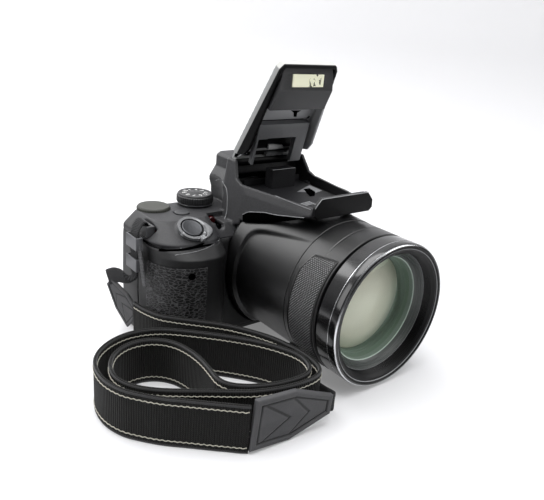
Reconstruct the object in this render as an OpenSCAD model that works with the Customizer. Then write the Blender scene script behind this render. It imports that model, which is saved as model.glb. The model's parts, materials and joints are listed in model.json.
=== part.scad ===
// Bridge camera with its flash raised and its neck strap laid beside it.
// Millimetres. +Z is up, the lens looks along -Y, and -X is the grip side.
// The origin lies on the resting face, under the lens axis.

/* [Body] */
// Reach of the grip side from the lens axis
grip_reach = 86; // [84:0.5:90]
// Reach of the far side from the lens axis
far_reach = 53.5; // [52:0.5:58]
// Distance from the origin back to the rear face
rear_y = 33.5; // [32.5:0.5:36]
// Distance from the origin forward to the wall beside the lens
front_y = 13; // [12:0.5:14]
// Distance from the origin forward to the nose of the grip
grip_y = 24; // [22:0.5:26]
// Height of the top deck
deck_z = 70.5; // [70:0.5:73]
// Height of the joint between the top cover and the lower covers
split_z = 60; // [58:0.5:61]
// Place of the joint between the front and rear covers
split_y = 10; // [9:0.5:11]
// Wall of the moulded covers
wall = 2; // [1.6:0.1:2.2]
// Height of the base plate's rim
base_t = 3; // [2.6:0.1:3.4]
// Tilt of the shutter slope
slope_tilt = 28.7; // [26:0.1:31]
// Wall of the front ring outside the flat filter bore
ring_wall = 6; // [5.5:0.1:6.5]
// Clearance round pieces that move
gap = 0.3; // [0.2:0.05:0.4]
// Radial clearance of a pin in its bore
pin_fit = 0.05; // [0.02:0.01:0.1]

/* [Lens] */
// Height of the lens axis
lens_z = 41; // [40.5:0.5:43]
// Radius of the fixed barrel
barrel_r = 39.5; // [38.5:0.25:40]
// Wall of the fixed barrel
barrel_wall = 1.9; // [1.6:0.1:2]
// Place of the seam behind the knurled band
band_y = 61.6; // [58:0.2:64]
// Place of the seam behind the front ring
ring_y = 85.2; // [82:0.2:88]
// Place of the front rim
rim_y = 100; // [98:0.5:104]
// Wall of each zoom tube
tube_wall = 1.7; // [1.4:0.1:2]
// Travel of each of the two zoom tubes
zoom_travel = 38; // [20:1:40]
// Wall of the lens cell round the front glass
cell_wall = 3.7; // [3.2:0.1:6]
// Height of the saddle panel over the barrel
saddle_h = 2.2; // [1.5:0.1:2.4]

/* [Hump and flash] */
// Place of the flash hinge behind the origin
hinge_y = 12.5; // [11:0.5:14]
// Height of the flash hinge
hinge_z = 97.5; // [96.5:0.5:99]
// Length of the flash lid
lid_len = 66.8; // [62:0.2:66.8]
// Half width of the lid at the hinge end
lid_hinge_w = 25.4; // [25:0.1:26]
// Half width of the lid at its tip
lid_tip_w = 20.3; // [19.8:0.1:20.6]
// Angle through which the raised lid closes
flash_open = 67.6; // [60:0.2:70]
// Skin of the lid
lid_skin = 1.8; // [1.4:0.1:2]
// Place of the face of the brow
brow_y = 58; // [57.5:0.25:59]
// Half width of the flash window
window_w = 11.1; // [9:0.1:13]

/* [Dials and buttons] */
// Radius of the mode dial
mode_r = 10.9; // [10:0.1:11.5]
// Radius of the command dial
command_r = 9.5; // [8.5:0.1:10]
// Radius of the shutter button
shutter_r = 5.9; // [5:0.1:6.1]
// Radius of a small button
button_r = 2.8; // [2.2:0.1:3.2]
// Radius of the selector dial
selector_r = 9.5; // [8.5:0.1:10]

/* [Monitor] */
// Width of the monitor panel
monitor_w = 80; // [74:0.5:81]
// Height of the monitor panel
monitor_h = 54; // [48:0.5:55]
// Thickness of the monitor panel
monitor_t = 6.5; // [5.5:0.1:7]

/* [Strap] */
// Width of the wide webbing
strap_w = 25; // [22:0.5:27]
// Thickness of the wide webbing
strap_t = 1.7; // [1.2:0.1:1.8]
// Width of the narrow webbing
lead_w = 9; // [8:0.5:10]
// Thickness of the narrow webbing
lead_t = 0.9; // [0.7:0.05:1]
// Length of a strap end tab
tab_len = 44; // [40:1:48]

/* [Hidden] */
$fn = 64;

// A length long enough to cut through the whole camera
through = 400;
// Inside radius of the fixed barrel, and the two zoom tubes that slide in it
shroud_in = barrel_r - barrel_wall;
seat_in = shroud_in - gap;
tube1_r = seat_in - gap;
tube1_in = tube1_r - tube_wall;
tube2_r = tube1_in - gap;
tube2_in = tube2_r - tube_wall;
// The lens cell fits the second tube and the back of the front ring
cell_fit = 0.1;
cell_r = tube2_in - cell_fit;
glass_r = cell_r - cell_wall;
filter_r = barrel_r - ring_wall;
ring_step = 0.6;
cell_front_r = filter_r - ring_step - 0.2;
filter_len = 6;
rim_face = 2;
// Front glass: its edge, its front curve and where its edge ends
glass_edge = 4.8;
glass_curve = 75;
glass_seat = rim_y - 14.4;
glass_sag = glass_curve - sqrt(glass_curve * glass_curve - glass_r * glass_r);
inner_glass_r = glass_r - 3.5;

// Lens shroud root and the saddle panel on top of it
root_y = front_y - 4;
saddle_flat = 20;
saddle_r = barrel_r + saddle_h;
saddle_front_w = 24.5;
saddle_rear_w = 33;
trench_gap = 1;
lens_hole_r = saddle_r + trench_gap;
root_fit = 0.4;
trench_d = 4.4;
trench_t = 1.6;

// Shutter slope: a plane through the front edge of the top deck
slope_top_y = 2;
function slope_z(y) = deck_z + (y - slope_top_y) * tan(slope_tilt);
shutter_x = -62.4;
shutter_y = -5.7;

// Dials on the top deck
mode_x = -41.6;
mode_y = 25.2;
mode_h = 6.6;
command_x = -67.8;
command_y = 27.5;
command_proud = 1.5;
command_h = 6.2;
power_x = -57.5;
power_y = 13;
power_r = 4.2;
scoop_r = 17.5;

// Hump
hump_base_z = 66;
hump_top_z = hinge_z + 2;
hump_ear_w = lid_hinge_w + 1;
ear_t = 2.1;
brow_clear = 1.1;
brow_face_h = 10;
brow_low_z = lens_z + saddle_r + brow_clear;
brow_low_w = 21.7;
brow_high_z = brow_low_z + brow_face_h;
brow_high_w = 17.4;
brow_wall = 1.2;
brow_plate_t = 2.2;
brow_plate_drop = 1;
eye_top_w = 23.8;
eye_z = 88;
eye_w = 11;
eye_h = 7.2;

// Top edge of the hump's side walls: it falls steeply from the hinge and then runs level
edge_low = brow_low_z + 4.2;
edge_low_y = -1;
edge_high_y = 8;
edge_rise = hump_top_z - edge_low;
function edge_z(y) = edge_low + edge_rise * pow(max(y - edge_low_y, 0) / (edge_high_y - edge_low_y), 2);
edge_steps = 12;
edge_front_y = -brow_y + brow_wall + brow_plate_t;

// Flash lid, in its own frame: u runs from the hinge to the tip, w up from the hinge line
lid_tilt = 6;
lid_top = 3;
knuckle_r = 2.8;
knuckle_w = hump_ear_w - ear_t - gap;
trough_r = 3.4;
pin_r = 1;
lid_neck = 6;
lid_gap = 0.5;
lid_under = lid_top - lid_skin;

// Tray at the bottom of the flash well
tray_t = 1.2;
tray_z = lens_z + saddle_r + 0.4;
tray_front_y = -46;
tray_rear_y = 6;

// Monitor and its hinge
hinge_in = 3.5;
monitor_axis_x = far_reach - hinge_in;
monitor_axis_y = rear_y - 3;
monitor_knuckle_r = 2.7;
arm_w = 5;
monitor_x1 = monitor_axis_x - arm_w - 0.4;
monitor_x0 = monitor_x1 - monitor_w;
monitor_z0 = 4.6;
monitor_mid = monitor_z0 + monitor_h / 2;
arm_h = 34;
monitor_floor = rear_y - monitor_t - 0.5;
tilt_pin_r = 2;

// Rear controls: the dial and lower buttons are placed from the grip side, the upper buttons from the monitor
selector_x = -grip_reach + 26;
selector_z = 27;
ok_r = 4.6;
// A pressed button that stands inside a turning ring has a wider gap
ring_gap = 0.7;
flange = 0.9;
flange_t = 1.4;
button_proud = 0.8;
movie_at = [monitor_x0 - 30.6, 53];
display_at = [monitor_x0 - 20.6, 47];
playback_at = [monitor_x0 - 10.6, 47];
menu_at = [-grip_reach + 18, 10];
delete_at = [-grip_reach + 35, 10];

// Battery door and what it covers
door_x0 = -grip_reach + 7;
door_x1 = door_x0 + 26;
door_y0 = -10;
door_y1 = 24;
door_t = 1.9;
door_lift = 0.3;
door_knuckle_r = 0.9;
door_axis_z = door_lift + door_knuckle_r + 0.05;

// Port cover on the far side
port_y0 = 15.5;
port_y1 = 23;
port_z0 = 14;
port_z1 = 38;
port_t = 1.8;
port_knuckle_r = 0.9;

// Tripod socket, quarter inch thread
tripod_y = 16;
tripod_r = 3.175;
tripod_len = 6.5;
bush_r = 6;
bush_h = 8;

// Side zoom lever and snap-back button on the far side of the barrel
side_lever_y = -40;
side_lever_travel = 2.5;
snap_y = -54;
snap_r = 3;

// Centre line of the wide webbing, laid on its edge, from the grip tab to the front tab
strap_route = [
  [-90, 6], [-88.5, -3], [-85, -13], [-79, -20.5], [-70, -29.5], [-60, -40], [-52.5, -51], [-47, -62],
  [-44, -72], [-42.4, -81], [-42.4, -90], [-44.6, -97.6], [-50, -101.4], [-60, -102.2], [-71, -100.4],
  [-82, -96.6], [-91, -91.4], [-100, -85.6], [-110, -79.4], [-118.4, -73.4], [-124.8, -66.8], [-128.4, -59.4],
  [-128.8, -51.6], [-126, -43.4], [-120.4, -36.6], [-112, -32.8], [-103, -33.4], [-96, -37.6], [-91.4, -44.5],
  [-89.2, -53.5], [-88.8, -63], [-89.8, -72], [-90.8, -79.6], [-89.6, -84.8], [-85.4, -89.6], [-78, -94],
  [-68, -97.2], [-57, -98.2], [-49.8, -96], [-46, -90.4], [-45.4, -82.6], [-49, -73], [-55.2, -62.6],
  [-63.6, -52.6], [-73, -43], [-82.6, -34.2], [-90.6, -28], [-98.6, -24.6], [-108, -23.4], [-117.6, -25.8],
  [-125.6, -30.8], [-131, -37.6], [-133.8, -46], [-134, -56], [-131, -65.6], [-126, -72.8], [-119, -80.6],
  [-111, -87.6], [-103, -94.6], [-96, -100.6], [-92.8, -103.4], [-90.4, -105]
];
route_steps = 4;
// Narrow webbing: places with the direction of its width
grip_lead_route = [
  [[-83, 8, 64.2], [0, 1, 0]], [[-83, 8, 69.4], [0, 1, 0]], [[-84.8, 8, 71.4], [0, 1, 0]],
  [[-87, 8, 69.4], [0, 1, 0]], [[-89, 7.4, 66], [0, 1, 0]], [[-89.7, 6.9, 61], [0, 1, 0]],
  [[-89.9, 6.4, 53], [0, 1, 0]], [[-90, 6.4, 46], [0, 1, 0]], [[-90.4, 7.6, 41], [0, 1, -0.35]],
  [[-92.2, 13, 38], [0, 0.65, -0.76]], [[-94.2, 20.2, 36.6], [0, 0.4, -0.92]],
  [[-95.4, 25.4, 34], [-0.1, 0.55, -0.83]], [[-95.9, 27.6, 32.6], [-0.16, 0.62, -0.77]]
];
far_lead_route = [
  [[-46.2, -108.3, 11.4], [0, 0, 1]], [[-43.2, -107.8, 10.8], [0, 0, 1]], [[-40.6, -104.6, 9.4], [0, 0, 1]],
  [[-39, -97, 7.4], [0, 0, 1]], [[-37, -84, 5.6], [0, 0, 1]], [[-33.6, -72, 5.4], [0, 0.1, 1]],
  [[-29, -62, 5], [-0.5, 0.3, 0.8]], [[-22, -53, 2.9], [-0.7, 0.7, 0.5]], [[-13, -46.4, 1.1], [-0.5, 0.86, 0.1]],
  [[0, -40, 0.6], [-0.35, 0.94, 0]], [[20, -34, 0.6], [-0.32, 0.95, 0]], [[38, -27, 0.7], [-0.47, 0.88, 0]],
  [[51.6, -19.6, 1.8], [-0.7, 0.72, 0]], [[58.2, -10.4, 5.6], [-0.5, 0.8, 0]], [[58.8, -2, 14], [-0.2, 0.95, -0.3]],
  [[59, 3, 27], [0, 0.95, -0.3]], [[59, 6.4, 40], [0, 1, -0.2]], [[59.4, 7.8, 50], [0, 1, 0]],
  [[59.2, 8, 56.4], [0, 1, 0]], [[57.4, 8, 58.6], [0, 1, 0]], [[55.7, 8, 56.4], [0, 1, 0]],
  [[55.7, 8, 51.2], [0, 1, 0]]
];
lead_steps = 3;
tab_t = 2.4;
// Points of the strap that are at least this many steps apart along it count as separate layers
layer_apart = 24;
eyelet_y = 8;
far_eyelet_y = 8;
grip_eyelet_z = 66.6;
far_eyelet_z = 53.6;

// A point on a smooth curve through a list of points
function curve_at(p, i, t) =
  let (n = len(p), a = p[max(i - 1, 0)], b = p[i], c = p[min(i + 1, n - 1)], d = p[min(i + 2, n - 1)])
  0.5 * (2 * b + (c - a) * t + (2 * a - 5 * b + 4 * c - d) * t * t + (3 * b - a - 3 * c + d) * t * t * t);
function curve(p, steps) = concat(
  [for (i = [0 : len(p) - 2], k = [0 : steps - 1]) curve_at(p, i, k / steps)], [p[len(p) - 1]]);
function unit(v) = v / norm(v);
function reverse(p) = [for (i = [len(p) - 1 : -1 : 0]) p[i]];
// Direction of a polyline at one of its points
function along(p, i) = unit(p[min(i + 1, len(p) - 1)] - p[max(i - 1, 0)]);

// Least gap between the layers of the coiled strap
strap_points = curve(strap_route, route_steps);
layer_gap = min([for (i = [0 : len(strap_points) - 1], j = [i + layer_apart : 1 : len(strap_points) - 1])
  norm(strap_points[i] - strap_points[j])]) - strap_t;
echo(layer_gap = layer_gap);

// A flat outline that follows a plane route at a given thickness
module ribbon(route, thickness, steps) {
  p = curve(route, steps);
  side = [for (i = [0 : len(p) - 1]) let (a = along(p, i)) [-a[1], a[0]] * thickness / 2];
  polygon(concat([for (i = [0 : len(p) - 1]) p[i] + side[i]],
                 reverse([for (i = [0 : len(p) - 1]) p[i] - side[i]])));
}

// A flat webbing swept along places that each give the direction of its width
module webbing(route, width, thickness, steps) {
  p = curve([for (r = route) r[0]], steps);
  w = curve([for (r = route) r[1]], steps);
  ring = [for (i = [0 : len(p) - 1])
    let (a = along(p, i), n = unit(cross(a, unit(w[i]))), s = cross(n, a))
    for (k = [[1, 1], [1, -1], [-1, -1], [-1, 1]]) p[i] + s * k[0] * width / 2 + n * k[1] * thickness / 2];
  last = 4 * (len(p) - 1);
  faces = concat(
    [[0, 1, 2], [0, 2, 3], [last + 2, last + 1, last], [last + 3, last + 2, last]],
    [for (i = [0 : len(p) - 2], k = [0 : 3], h = [0, 1])
      let (a = 4 * i + k, b = 4 * i + (k + 1) % 4)
      h == 0 ? [a, a + 4, b + 4] : [a, b + 4, b]]);
  polyhedron(points = ring, faces = faces, convexity = 6);
}

// Turn a shape built along +Z to lie on the lens axis, with +Z looking forward
module on_lens() { translate([0, 0, lens_z]) rotate([90, 0, 0]) children(); }

// A tube on the lens axis between two distances ahead of the origin
module lens_tube(r_out, r_in, y_back, y_front) {
  on_lens() translate([0, 0, y_back]) difference() {
    cylinder(r = r_out, h = y_front - y_back);
    translate([0, 0, -1]) cylinder(r = r_in, h = y_front - y_back + 2);
  }
}

// A box from its lowest and highest corners
module block(lo, hi) { translate(lo) cube(hi - lo); }

// One level of a moulded form: four round corners at one height, drawn in by an inset.
// The lowest level stands on its height and the others hang from theirs.
slab = 0.2;
module level(z, x, y, r, inset) {
  drop = z > base_t ? slab : 0;
  for (c = [[x[0], y[0], r[0], 1, 1], [x[1], y[0], r[1], -1, 1], [x[0], y[1], r[2], 1, -1], [x[1], y[1], r[2], -1, -1]])
    translate([c[0] + c[3] * c[2], c[1] + c[4] * c[2], z - drop])
      cylinder(r = max(c[2] - inset, 0.5), h = slab, $fn = 40);
}

// Grip: a deep handle with a large round nose and a sloping top
module grip_form(inset = 0) {
  hull() {
    level(max(inset, 0), [-grip_reach + 3, -46], [-grip_y + 4, rear_y - 2], [18, 8, 7], inset);
    level(base_t + 1.5, [-grip_reach + 0.8, -46], [-grip_y + 1, rear_y - 0.2], [20, 10, 5], inset);
    level(30, [-grip_reach, -45], [-grip_y, rear_y], [22, 12, 5], inset);
    level(slope_z(-grip_y + 1) - 1, [-grip_reach + 0.3, -45.3], [-grip_y + 0.3, rear_y - 0.1], [22, 12, 5], inset);
    level(slope_z(-12), [-grip_reach + 0.5, -45.5], [-12, rear_y - 0.3], [14, 8, 5], inset);
    level(deck_z - max(inset, 0), [-grip_reach + 8, -45], [slope_top_y, rear_y - 1.5], [7, 5, 5], inset);
  }
}

// Deck under the mode dial, with the wall that carries the focus lamp
module deck_form(inset = 0) {
  hull() {
    level(46, [-52, -22], [4, rear_y], [3, 3, 4], inset);
    level(deck_z - inset, [-52, -24], [7, rear_y - 1.5], [3, 3, 4], inset);
  }
}

// Main block behind the lens
module core_form(inset = 0) {
  hull() {
    level(inset, [-66, far_reach - 2.5], [-front_y + 2, rear_y - 2], [5, 6, 6], inset);
    level(base_t + 1.5, [-66, far_reach - 0.5], [-front_y + 0.5, rear_y - 0.2], [6, 7, 7], inset);
    level(48, [-66, far_reach], [-front_y, rear_y], [6, 8, 8], inset);
    level(split_z - 1.7, [-66, far_reach - 2], [-front_y + 3, rear_y - 0.2], [6, 8, 8], inset);
    level(hump_base_z + 1 - inset, [-62, far_reach - 9], [-3, rear_y - 1.5], [5, 8, 7], inset);
  }
}

// Front of the hump: from its broad root to the brow over the lens
module brow_form(inset = 0) {
  hull() {
    level(hump_base_z - 3 * inset, [-34, 34], [-9, 15], [6, 6, 5], inset);
    level(84, [-29.5, 29.5], [-13, 16], [5, 5, 4], inset);
    level(hump_top_z - inset, [-hump_ear_w, hump_ear_w], [6, 17], [2.6, 2.6, 2.6], inset);
    level(brow_low_z + inset, [-brow_low_w, brow_low_w], [-brow_y + brow_plate_t, -40], [2.6, 2.6, 3], inset);
    level(brow_high_z - inset, [-brow_high_w, brow_high_w], [-brow_y + brow_plate_t, -40], [2.6, 2.6, 3], inset);
  }
}

// Rear of the hump: a flared root and the narrower eyepiece housing on it
module eyepiece_form(inset = 0) {
  hull() {
    level(hump_base_z - 3 * inset, [-36, 36], [10, rear_y - 1], [6, 6, 7], inset);
    level(83, [-31, 31], [10, rear_y], [5, 5, 6], inset);
    level(91 - inset, [-24.2, 24.2], [12, rear_y + 0.5], [4, 4, 4], inset);
  }
  hull() {
    level(86, [-eye_top_w, eye_top_w], [14, rear_y + 0.5], [4, 4, 4], inset);
    level(hump_top_z - 2, [-eye_top_w, eye_top_w], [14, rear_y + 0.5], [4, 4, 4], inset);
    level(hump_top_z - inset, [-eye_top_w + 2, eye_top_w - 2], [15.5, rear_y - 1], [3, 3, 3], inset);
  }
}

// The whole moulded outside, or the space inside it
module body_form(inset = 0) {
  grip_form(inset);
  deck_form(inset);
  core_form(inset);
  brow_form(inset);
  eyepiece_form(inset);
}

// The lower outside, without the hump
module lower_form(inset = 0) {
  grip_form(inset);
  deck_form(inset);
  core_form(inset);
}

// Way of the lens through the covers: a wide trench with a close hole in its floor
module lens_way() {
  on_lens() translate([0, 0, front_y - trench_d]) cylinder(r = lens_hole_r, h = through);
  root_way();
}
module root_way() {
  on_lens() translate([0, 0, front_y - trench_d - trench_t - 1]) cylinder(r = barrel_r + root_fit, h = through);
}

// Room inside the covers for the chassis tube
module tube_way() {
  on_lens() translate([0, 0, -9]) cylinder(r = shroud_in + 1.2 + gap, h = 30);
}

// Floor and wall of the trench round the root of the barrel
module trench() {
  on_lens() translate([0, 0, front_y - trench_d - trench_t]) cylinder(r = lens_hole_r + wall, h = trench_d);
}

// Saddle outline seen from above, from the root to the knurled band
module saddle_plan(grow) {
  polygon([[-saddle_rear_w - grow, -root_y + 6], [saddle_rear_w + grow, -root_y + 6],
           [saddle_front_w + grow, -band_y], [-saddle_front_w - grow, -band_y]]);
}

// Groove between the top cover's nose and the front cover
groove_h = 1.8;
groove_d = 1.4;
module nose_groove() {
  difference() {
    block([-grip_reach - 5, -grip_y - 5, split_z], [-47, 6, split_z + groove_h]);
    grip_form(groove_d);
  }
}

module base_plate() {
  color("#2b2b2b") difference() {
    intersection() {
      lower_form();
      block([-through, -through, -1], [through, through, base_t]);
    }
    lower_form(wall);
    root_way();
    translate([0, tripod_y, -1]) cylinder(r = bush_r + pin_fit, h = base_t + 2);
    block([door_x0 - gap, door_y0 - gap, -1], [door_x1 + gap, door_y1 + gap, base_t + 1]);
    for (p = screw_places) translate([p[0], p[1], -1]) cylinder(r = screw_r + 0.1, h = base_t + 2);
  }
}

// Base screws stand in counterbores near the corners
screw_r = 1.8;
screw_h = 1.6;
screw_places = [[-26, -6], [30, -6], [44, 26], [-30, 28], [8, 28]];
module base_screws() {
  color("#3a3a3c") for (p = screw_places) translate([p[0], p[1], 0.2]) difference() {
    cylinder(r = screw_r, h = screw_h);
    for (a = [0, 90]) rotate([0, 0, a]) block([-1.1, -0.25, -1], [1.1, 0.25, 0.7]);
  }
}

module front_cover() {
  color("#262626") difference() {
    union() {
      intersection() {
        difference() {
          lower_form();
          lower_form(wall);
        }
        block([-through, -through, base_t], [through, split_y, split_z]);
      }
      intersection() {
        lower_form();
        trench();
        block([-through, -through, base_t], [through, 0, split_z]);
      }
      // A rib that stiffens the side of the grip
      intersection() {
        difference() {
          grip_form();
          grip_form(wall + rib_d);
        }
        block([-grip_reach - 5, split_y - 6, 20], [-grip_reach + 6, split_y - 4.5, 40]);
      }
    }
    lens_way();
    tube_way();
  }
}

rib_d = 1.6;

// Small receiver window in the grip
receiver_x = -71.2;
receiver_z = 47.6;
receiver_r = 1.9;
rubber_t = 0.7;
rubber_x1 = -62.5;
module grip_rubber() {
  color("#1d1d1d") difference() {
    intersection() {
      grip_form(-rubber_t);
      block([-grip_reach - 5, -grip_y - 5, 5], [rubber_x1, -1, split_z - 8]);
    }
    grip_form(0);
    translate([receiver_x, 0, receiver_z]) rotate([90, 0, 0]) cylinder(r = receiver_r, h = through);
  }
}

// Hole for a small button and the step behind it, seen along +Y
module rear_button_hole(at, r) {
  translate([at[0], rear_y + 5, at[1]]) rotate([90, 0, 0]) cylinder(r = r + gap, h = wall + 6);
}

module rear_cover() {
  color("#262626") difference() {
    union() {
      intersection() {
        difference() {
          lower_form();
          lower_form(wall);
        }
        block([-through, split_y, base_t], [through, through, split_z]);
      }
      intersection() {
        core_form();
        block([monitor_x0 - wall, monitor_floor - wall, base_t], [through, through, split_z]);
      }
      intersection() {
        core_form();
        block([far_reach - port_t - 3, split_y, port_z0 - 2], [through, port_y1 + 3, port_z1 + 2]);
      }
    }
    block([monitor_x0 - gap, monitor_floor, monitor_z0 - gap],
          [monitor_x1 + 0.4, through, monitor_z0 + monitor_h + gap]);
    block([monitor_x1, monitor_floor, monitor_mid - arm_h / 2 - gap],
          [through, through, monitor_mid + arm_h / 2 + gap]);
    // The panel's edge swings round the two lugs that hold the arm
    intersection() {
      translate([monitor_axis_x, monitor_axis_y, monitor_z0 - gap]) difference() {
        cylinder(r = arm_w + 1.7, h = monitor_h + 2 * gap);
        translate([0, 0, -1]) cylinder(r = arm_w, h = monitor_h + 4);
      }
      block([0, monitor_floor, 0], [through, through, through]);
    }
    translate([monitor_axis_x, monitor_axis_y, monitor_mid - arm_h / 2 - 3.5])
      cylinder(r = pin_r + 0.3, h = arm_h + 7);
    block([far_reach - port_t - 0.7, port_y0 - gap, port_z0 - gap], [through, port_y1 + 1.6, port_z1 + gap]);
    translate([selector_x, rear_y + 5, selector_z]) rotate([90, 0, 0]) cylinder(r = selector_r + gap, h = wall + 6);
    for (at = [movie_at, display_at, playback_at, menu_at, delete_at]) rear_button_hole(at, button_r);
  }
}

// The top cover: decks, shutter pod and hump, with the flash well open above
pod_r = 9;
pod_at = [1.2, 0.4];
pod_tip_r = 3.4;
pod_tip_at = [9, -1.5];
pod_h = 1.4;
lever_w = 2.3;
module on_slope() {
  translate([shutter_x, shutter_y, slope_z(shutter_y)]) rotate([slope_tilt, 0, 0]) children();
}
// Hollow that makes room for the mode dial beside the hump, or its wall
module scoop(grow) {
  translate([mode_x, mode_y, deck_z - grow]) rotate_extrude()
    polygon([[0, 0], [scoop_r + grow, 0], [scoop_r + grow, 8 + grow], [scoop_r - 1.8 + grow, 14 + grow],
             [scoop_r - 6 + grow, 18 + grow * 2], [0, 20 + grow * 2]]);
}
module top_cover() {
  color("#2e2e2e") difference() {
    union() {
      intersection() {
        difference() {
          body_form();
          body_form(wall);
        }
        block([-through, -through, split_z], [through, through, through]);
      }
      intersection() {
        body_form();
        trench();
        block([-through, -through, split_z], [through, 0, lens_z + 36]);
      }
      intersection() {
        body_form();
        translate([command_x, command_y, split_z + 1]) cylinder(r = command_r + gap + 1.5, h = deck_z - split_z - 1);
      }
      intersection() {
        union() {
          brow_form();
          eyepiece_form();
        }
        scoop(wall);
      }
      on_slope() hull() {
        translate([pod_at[0], pod_at[1], -1]) cylinder(r = pod_r, h = pod_h + 1, $fn = 40);
        translate([pod_tip_at[0], pod_tip_at[1], -1]) cylinder(r = pod_tip_r, h = pod_h + 1, $fn = 24);
      }
    }
    lens_way();
    tube_way();
    // Open flash well, its falling side edges and the hinge trough
    block([-knuckle_w - gap, -2, tray_z], [knuckle_w + gap, hinge_y, through]);
    rotate([90, 0, 90]) translate([0, 0, -60]) linear_extrude(120)
      polygon(concat([[edge_high_y, through], [edge_front_y, through]],
                     [for (i = [0 : edge_steps])
                       let (y = edge_front_y + (edge_high_y - edge_front_y) * i / edge_steps) [y, edge_z(y)]]));
    translate([-knuckle_w - gap, hinge_y, hinge_z]) rotate([0, 90, 0])
      cylinder(r = trough_r, h = 2 * (knuckle_w + gap));
    translate([-hump_ear_w, hinge_y, hinge_z]) rotate([0, 90, 0]) cylinder(r = pin_r + 0.1, h = 2 * hump_ear_w);
    // Room for the mode dial beside the hump
    scoop(0);
    translate([mode_x, mode_y, split_z]) cylinder(r = 2.5 + gap, h = 20);
    translate([command_x, command_y, deck_z + command_proud - command_h - gap]) cylinder(r = command_r + gap, h = 20);
    translate([command_x, command_y, split_z]) cylinder(r = 2 + gap, h = 20);
    translate([power_x, power_y, split_z + 2]) cylinder(r = power_r + gap, h = 20);
    on_slope() translate([0, 0, -6]) cylinder(r = shutter_r + gap, h = 20);
    on_slope() translate([0, 0, pod_h - 0.6]) cylinder(r = shutter_r + lever_w + gap, h = 20);
    translate([focus_x, 12, focus_z]) rotate([90, 0, 0]) cylinder(r = focus_r + 0.1, h = 40);
    block([-eye_w, rear_y - wall - 1, eye_z - eye_h], [eye_w, rear_y + 5, eye_z + eye_h]);
    translate([eye_top_w - 5, diopter_y, diopter_z]) rotate([0, 90, 0]) cylinder(r = 1.5 + gap, h = 10);
    translate([20, flash_button_y, flash_button_z]) rotate([0, 90, 0]) cylinder(r = button_r + gap, h = 20);
    eyelet_notch();
    nose_groove();
  }
}

// Focus lamp in the wall below the mode dial
focus_x = -42;
focus_z = 66;
focus_r = 2.3;
module focus_lamp() {
  color("#4a1216") translate([focus_x, 8.8, focus_z]) rotate([90, 0, 0]) cylinder(r = focus_r, h = 4);
}

module brow_plate() {
  color("#141414") translate([0, -brow_y + brow_plate_t, 0]) rotate([90, 0, 0]) linear_extrude(brow_plate_t)
    polygon([for (s = [-1, 1], k = [0 : 3]) let (p = brow_corner(s < 0 ? 3 - k : k)) [s * p[0], p[1]]]);
}
// Corners of one half of the brow plate, from the lower edge up
function brow_corner(k) = [[brow_low_w - 2.4, brow_low_z - brow_plate_drop], [brow_low_w - 0.2, brow_low_z + 1],
                           [brow_low_w - 0.6, brow_low_z + 5.4], [brow_high_w - 0.4, brow_high_z]][k];

module chassis() {
  color("#8a8d90") difference() {
    union() {
      lens_tube(shroud_in + 1.2, seat_in, -8, root_y);
      block([-38, 8, 6], [44, split_y + 1, split_z + 2]);
      block([-14, split_y + 1, wall], [14, tripod_y + bush_r + 1.5, wall + 2.6]);
      block([-14, 8, wall], [14, split_y + 1, 8]);
      block([door_x0 + 0.8, door_y0 + 0.8, door_lift + door_t + 1], [door_x0 + 23, door_y0 + 33.2, 51]);
      block([door_x0 + 20, 8, 24], [-36, split_y + 1, 44]);
    }
    translate([door_x0 + 2 - chamber_fit, door_y0 + 2 - chamber_fit, 0])
      cube([battery_size[0], battery_size[1], door_lift + door_t + 0.5 + battery_size[2]]
           + [2 * chamber_fit, 2 * chamber_fit, chamber_fit]);
    translate([door_x0 + 19 - chamber_fit, door_y0 + 4 - chamber_fit, 0])
      cube([2.1 + 2 * chamber_fit, 24 + 2 * chamber_fit, door_lift + door_t + 0.5 + 32 + chamber_fit]);
    on_lens() translate([0, 0, -30]) cylinder(r = 16, h = 60);
    translate([0, tripod_y, 0]) cylinder(r = bush_r + pin_fit, h = 20);
  }
}

module tripod_bush() {
  color("#b9bcc0") translate([0, tripod_y, 0]) difference() {
    cylinder(r = bush_r, h = bush_h);
    translate([0, 0, -1]) cylinder(r = tripod_r, h = tripod_len + 1);
  }
}

module lens_shroud() {
  color("#222222") difference() {
    union() {
      lens_tube(barrel_r, shroud_in, root_y, band_y);
      intersection() {
        on_lens() rotate_extrude()
          polygon([[shroud_in, root_y], [saddle_r, root_y], [saddle_r, root_y + saddle_flat],
                   [barrel_r + 0.2, band_y], [shroud_in, band_y]]);
        translate([0, 0, lens_z]) linear_extrude(through) saddle_plan(0);
      }
    }
    block([30, side_lever_y - 2.4, lens_z - 2.5 - side_lever_travel - 0.5],
          [50, side_lever_y + 2.4, lens_z + 2.5 + side_lever_travel + 0.5]);
    translate([30, snap_y, lens_z]) rotate([0, 90, 0]) cylinder(r = snap_r + gap, h = 20);
  }
}

// Knurled band: a ring with two shallow beds for the rubber pads
pad_y0 = band_y + 3.4;
pad_y1 = ring_y - 1.4;
pad_t = 0.8;
pad_proud = 0.4;
pad_up = 48;
pad_down = 50;
module pad_bed(r_out, r_in, trim) {
  intersection() {
    lens_tube(r_out, r_in, pad_y0 + trim, pad_y1 - trim);
    for (s = [-1, 1]) translate([0, 0, lens_z]) rotate([90, 0, 0]) linear_extrude(through)
      polygon([[0, 0], [s * 60 * cos(pad_up), 60 * sin(pad_up)], [s * 90, 0],
               [s * 60 * cos(pad_down), -60 * sin(pad_down)]]);
  }
}
module barrel_ring() {
  color("#1c1c1c") difference() {
    lens_tube(barrel_r, shroud_in, band_y, ring_y);
    pad_bed(barrel_r + 1, barrel_r - pad_t + pad_proud, 0);
  }
}
module barrel_pads() {
  color("#191919") pad_bed(barrel_r + pad_proud, barrel_r - pad_t + pad_proud, 0.2);
}

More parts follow.
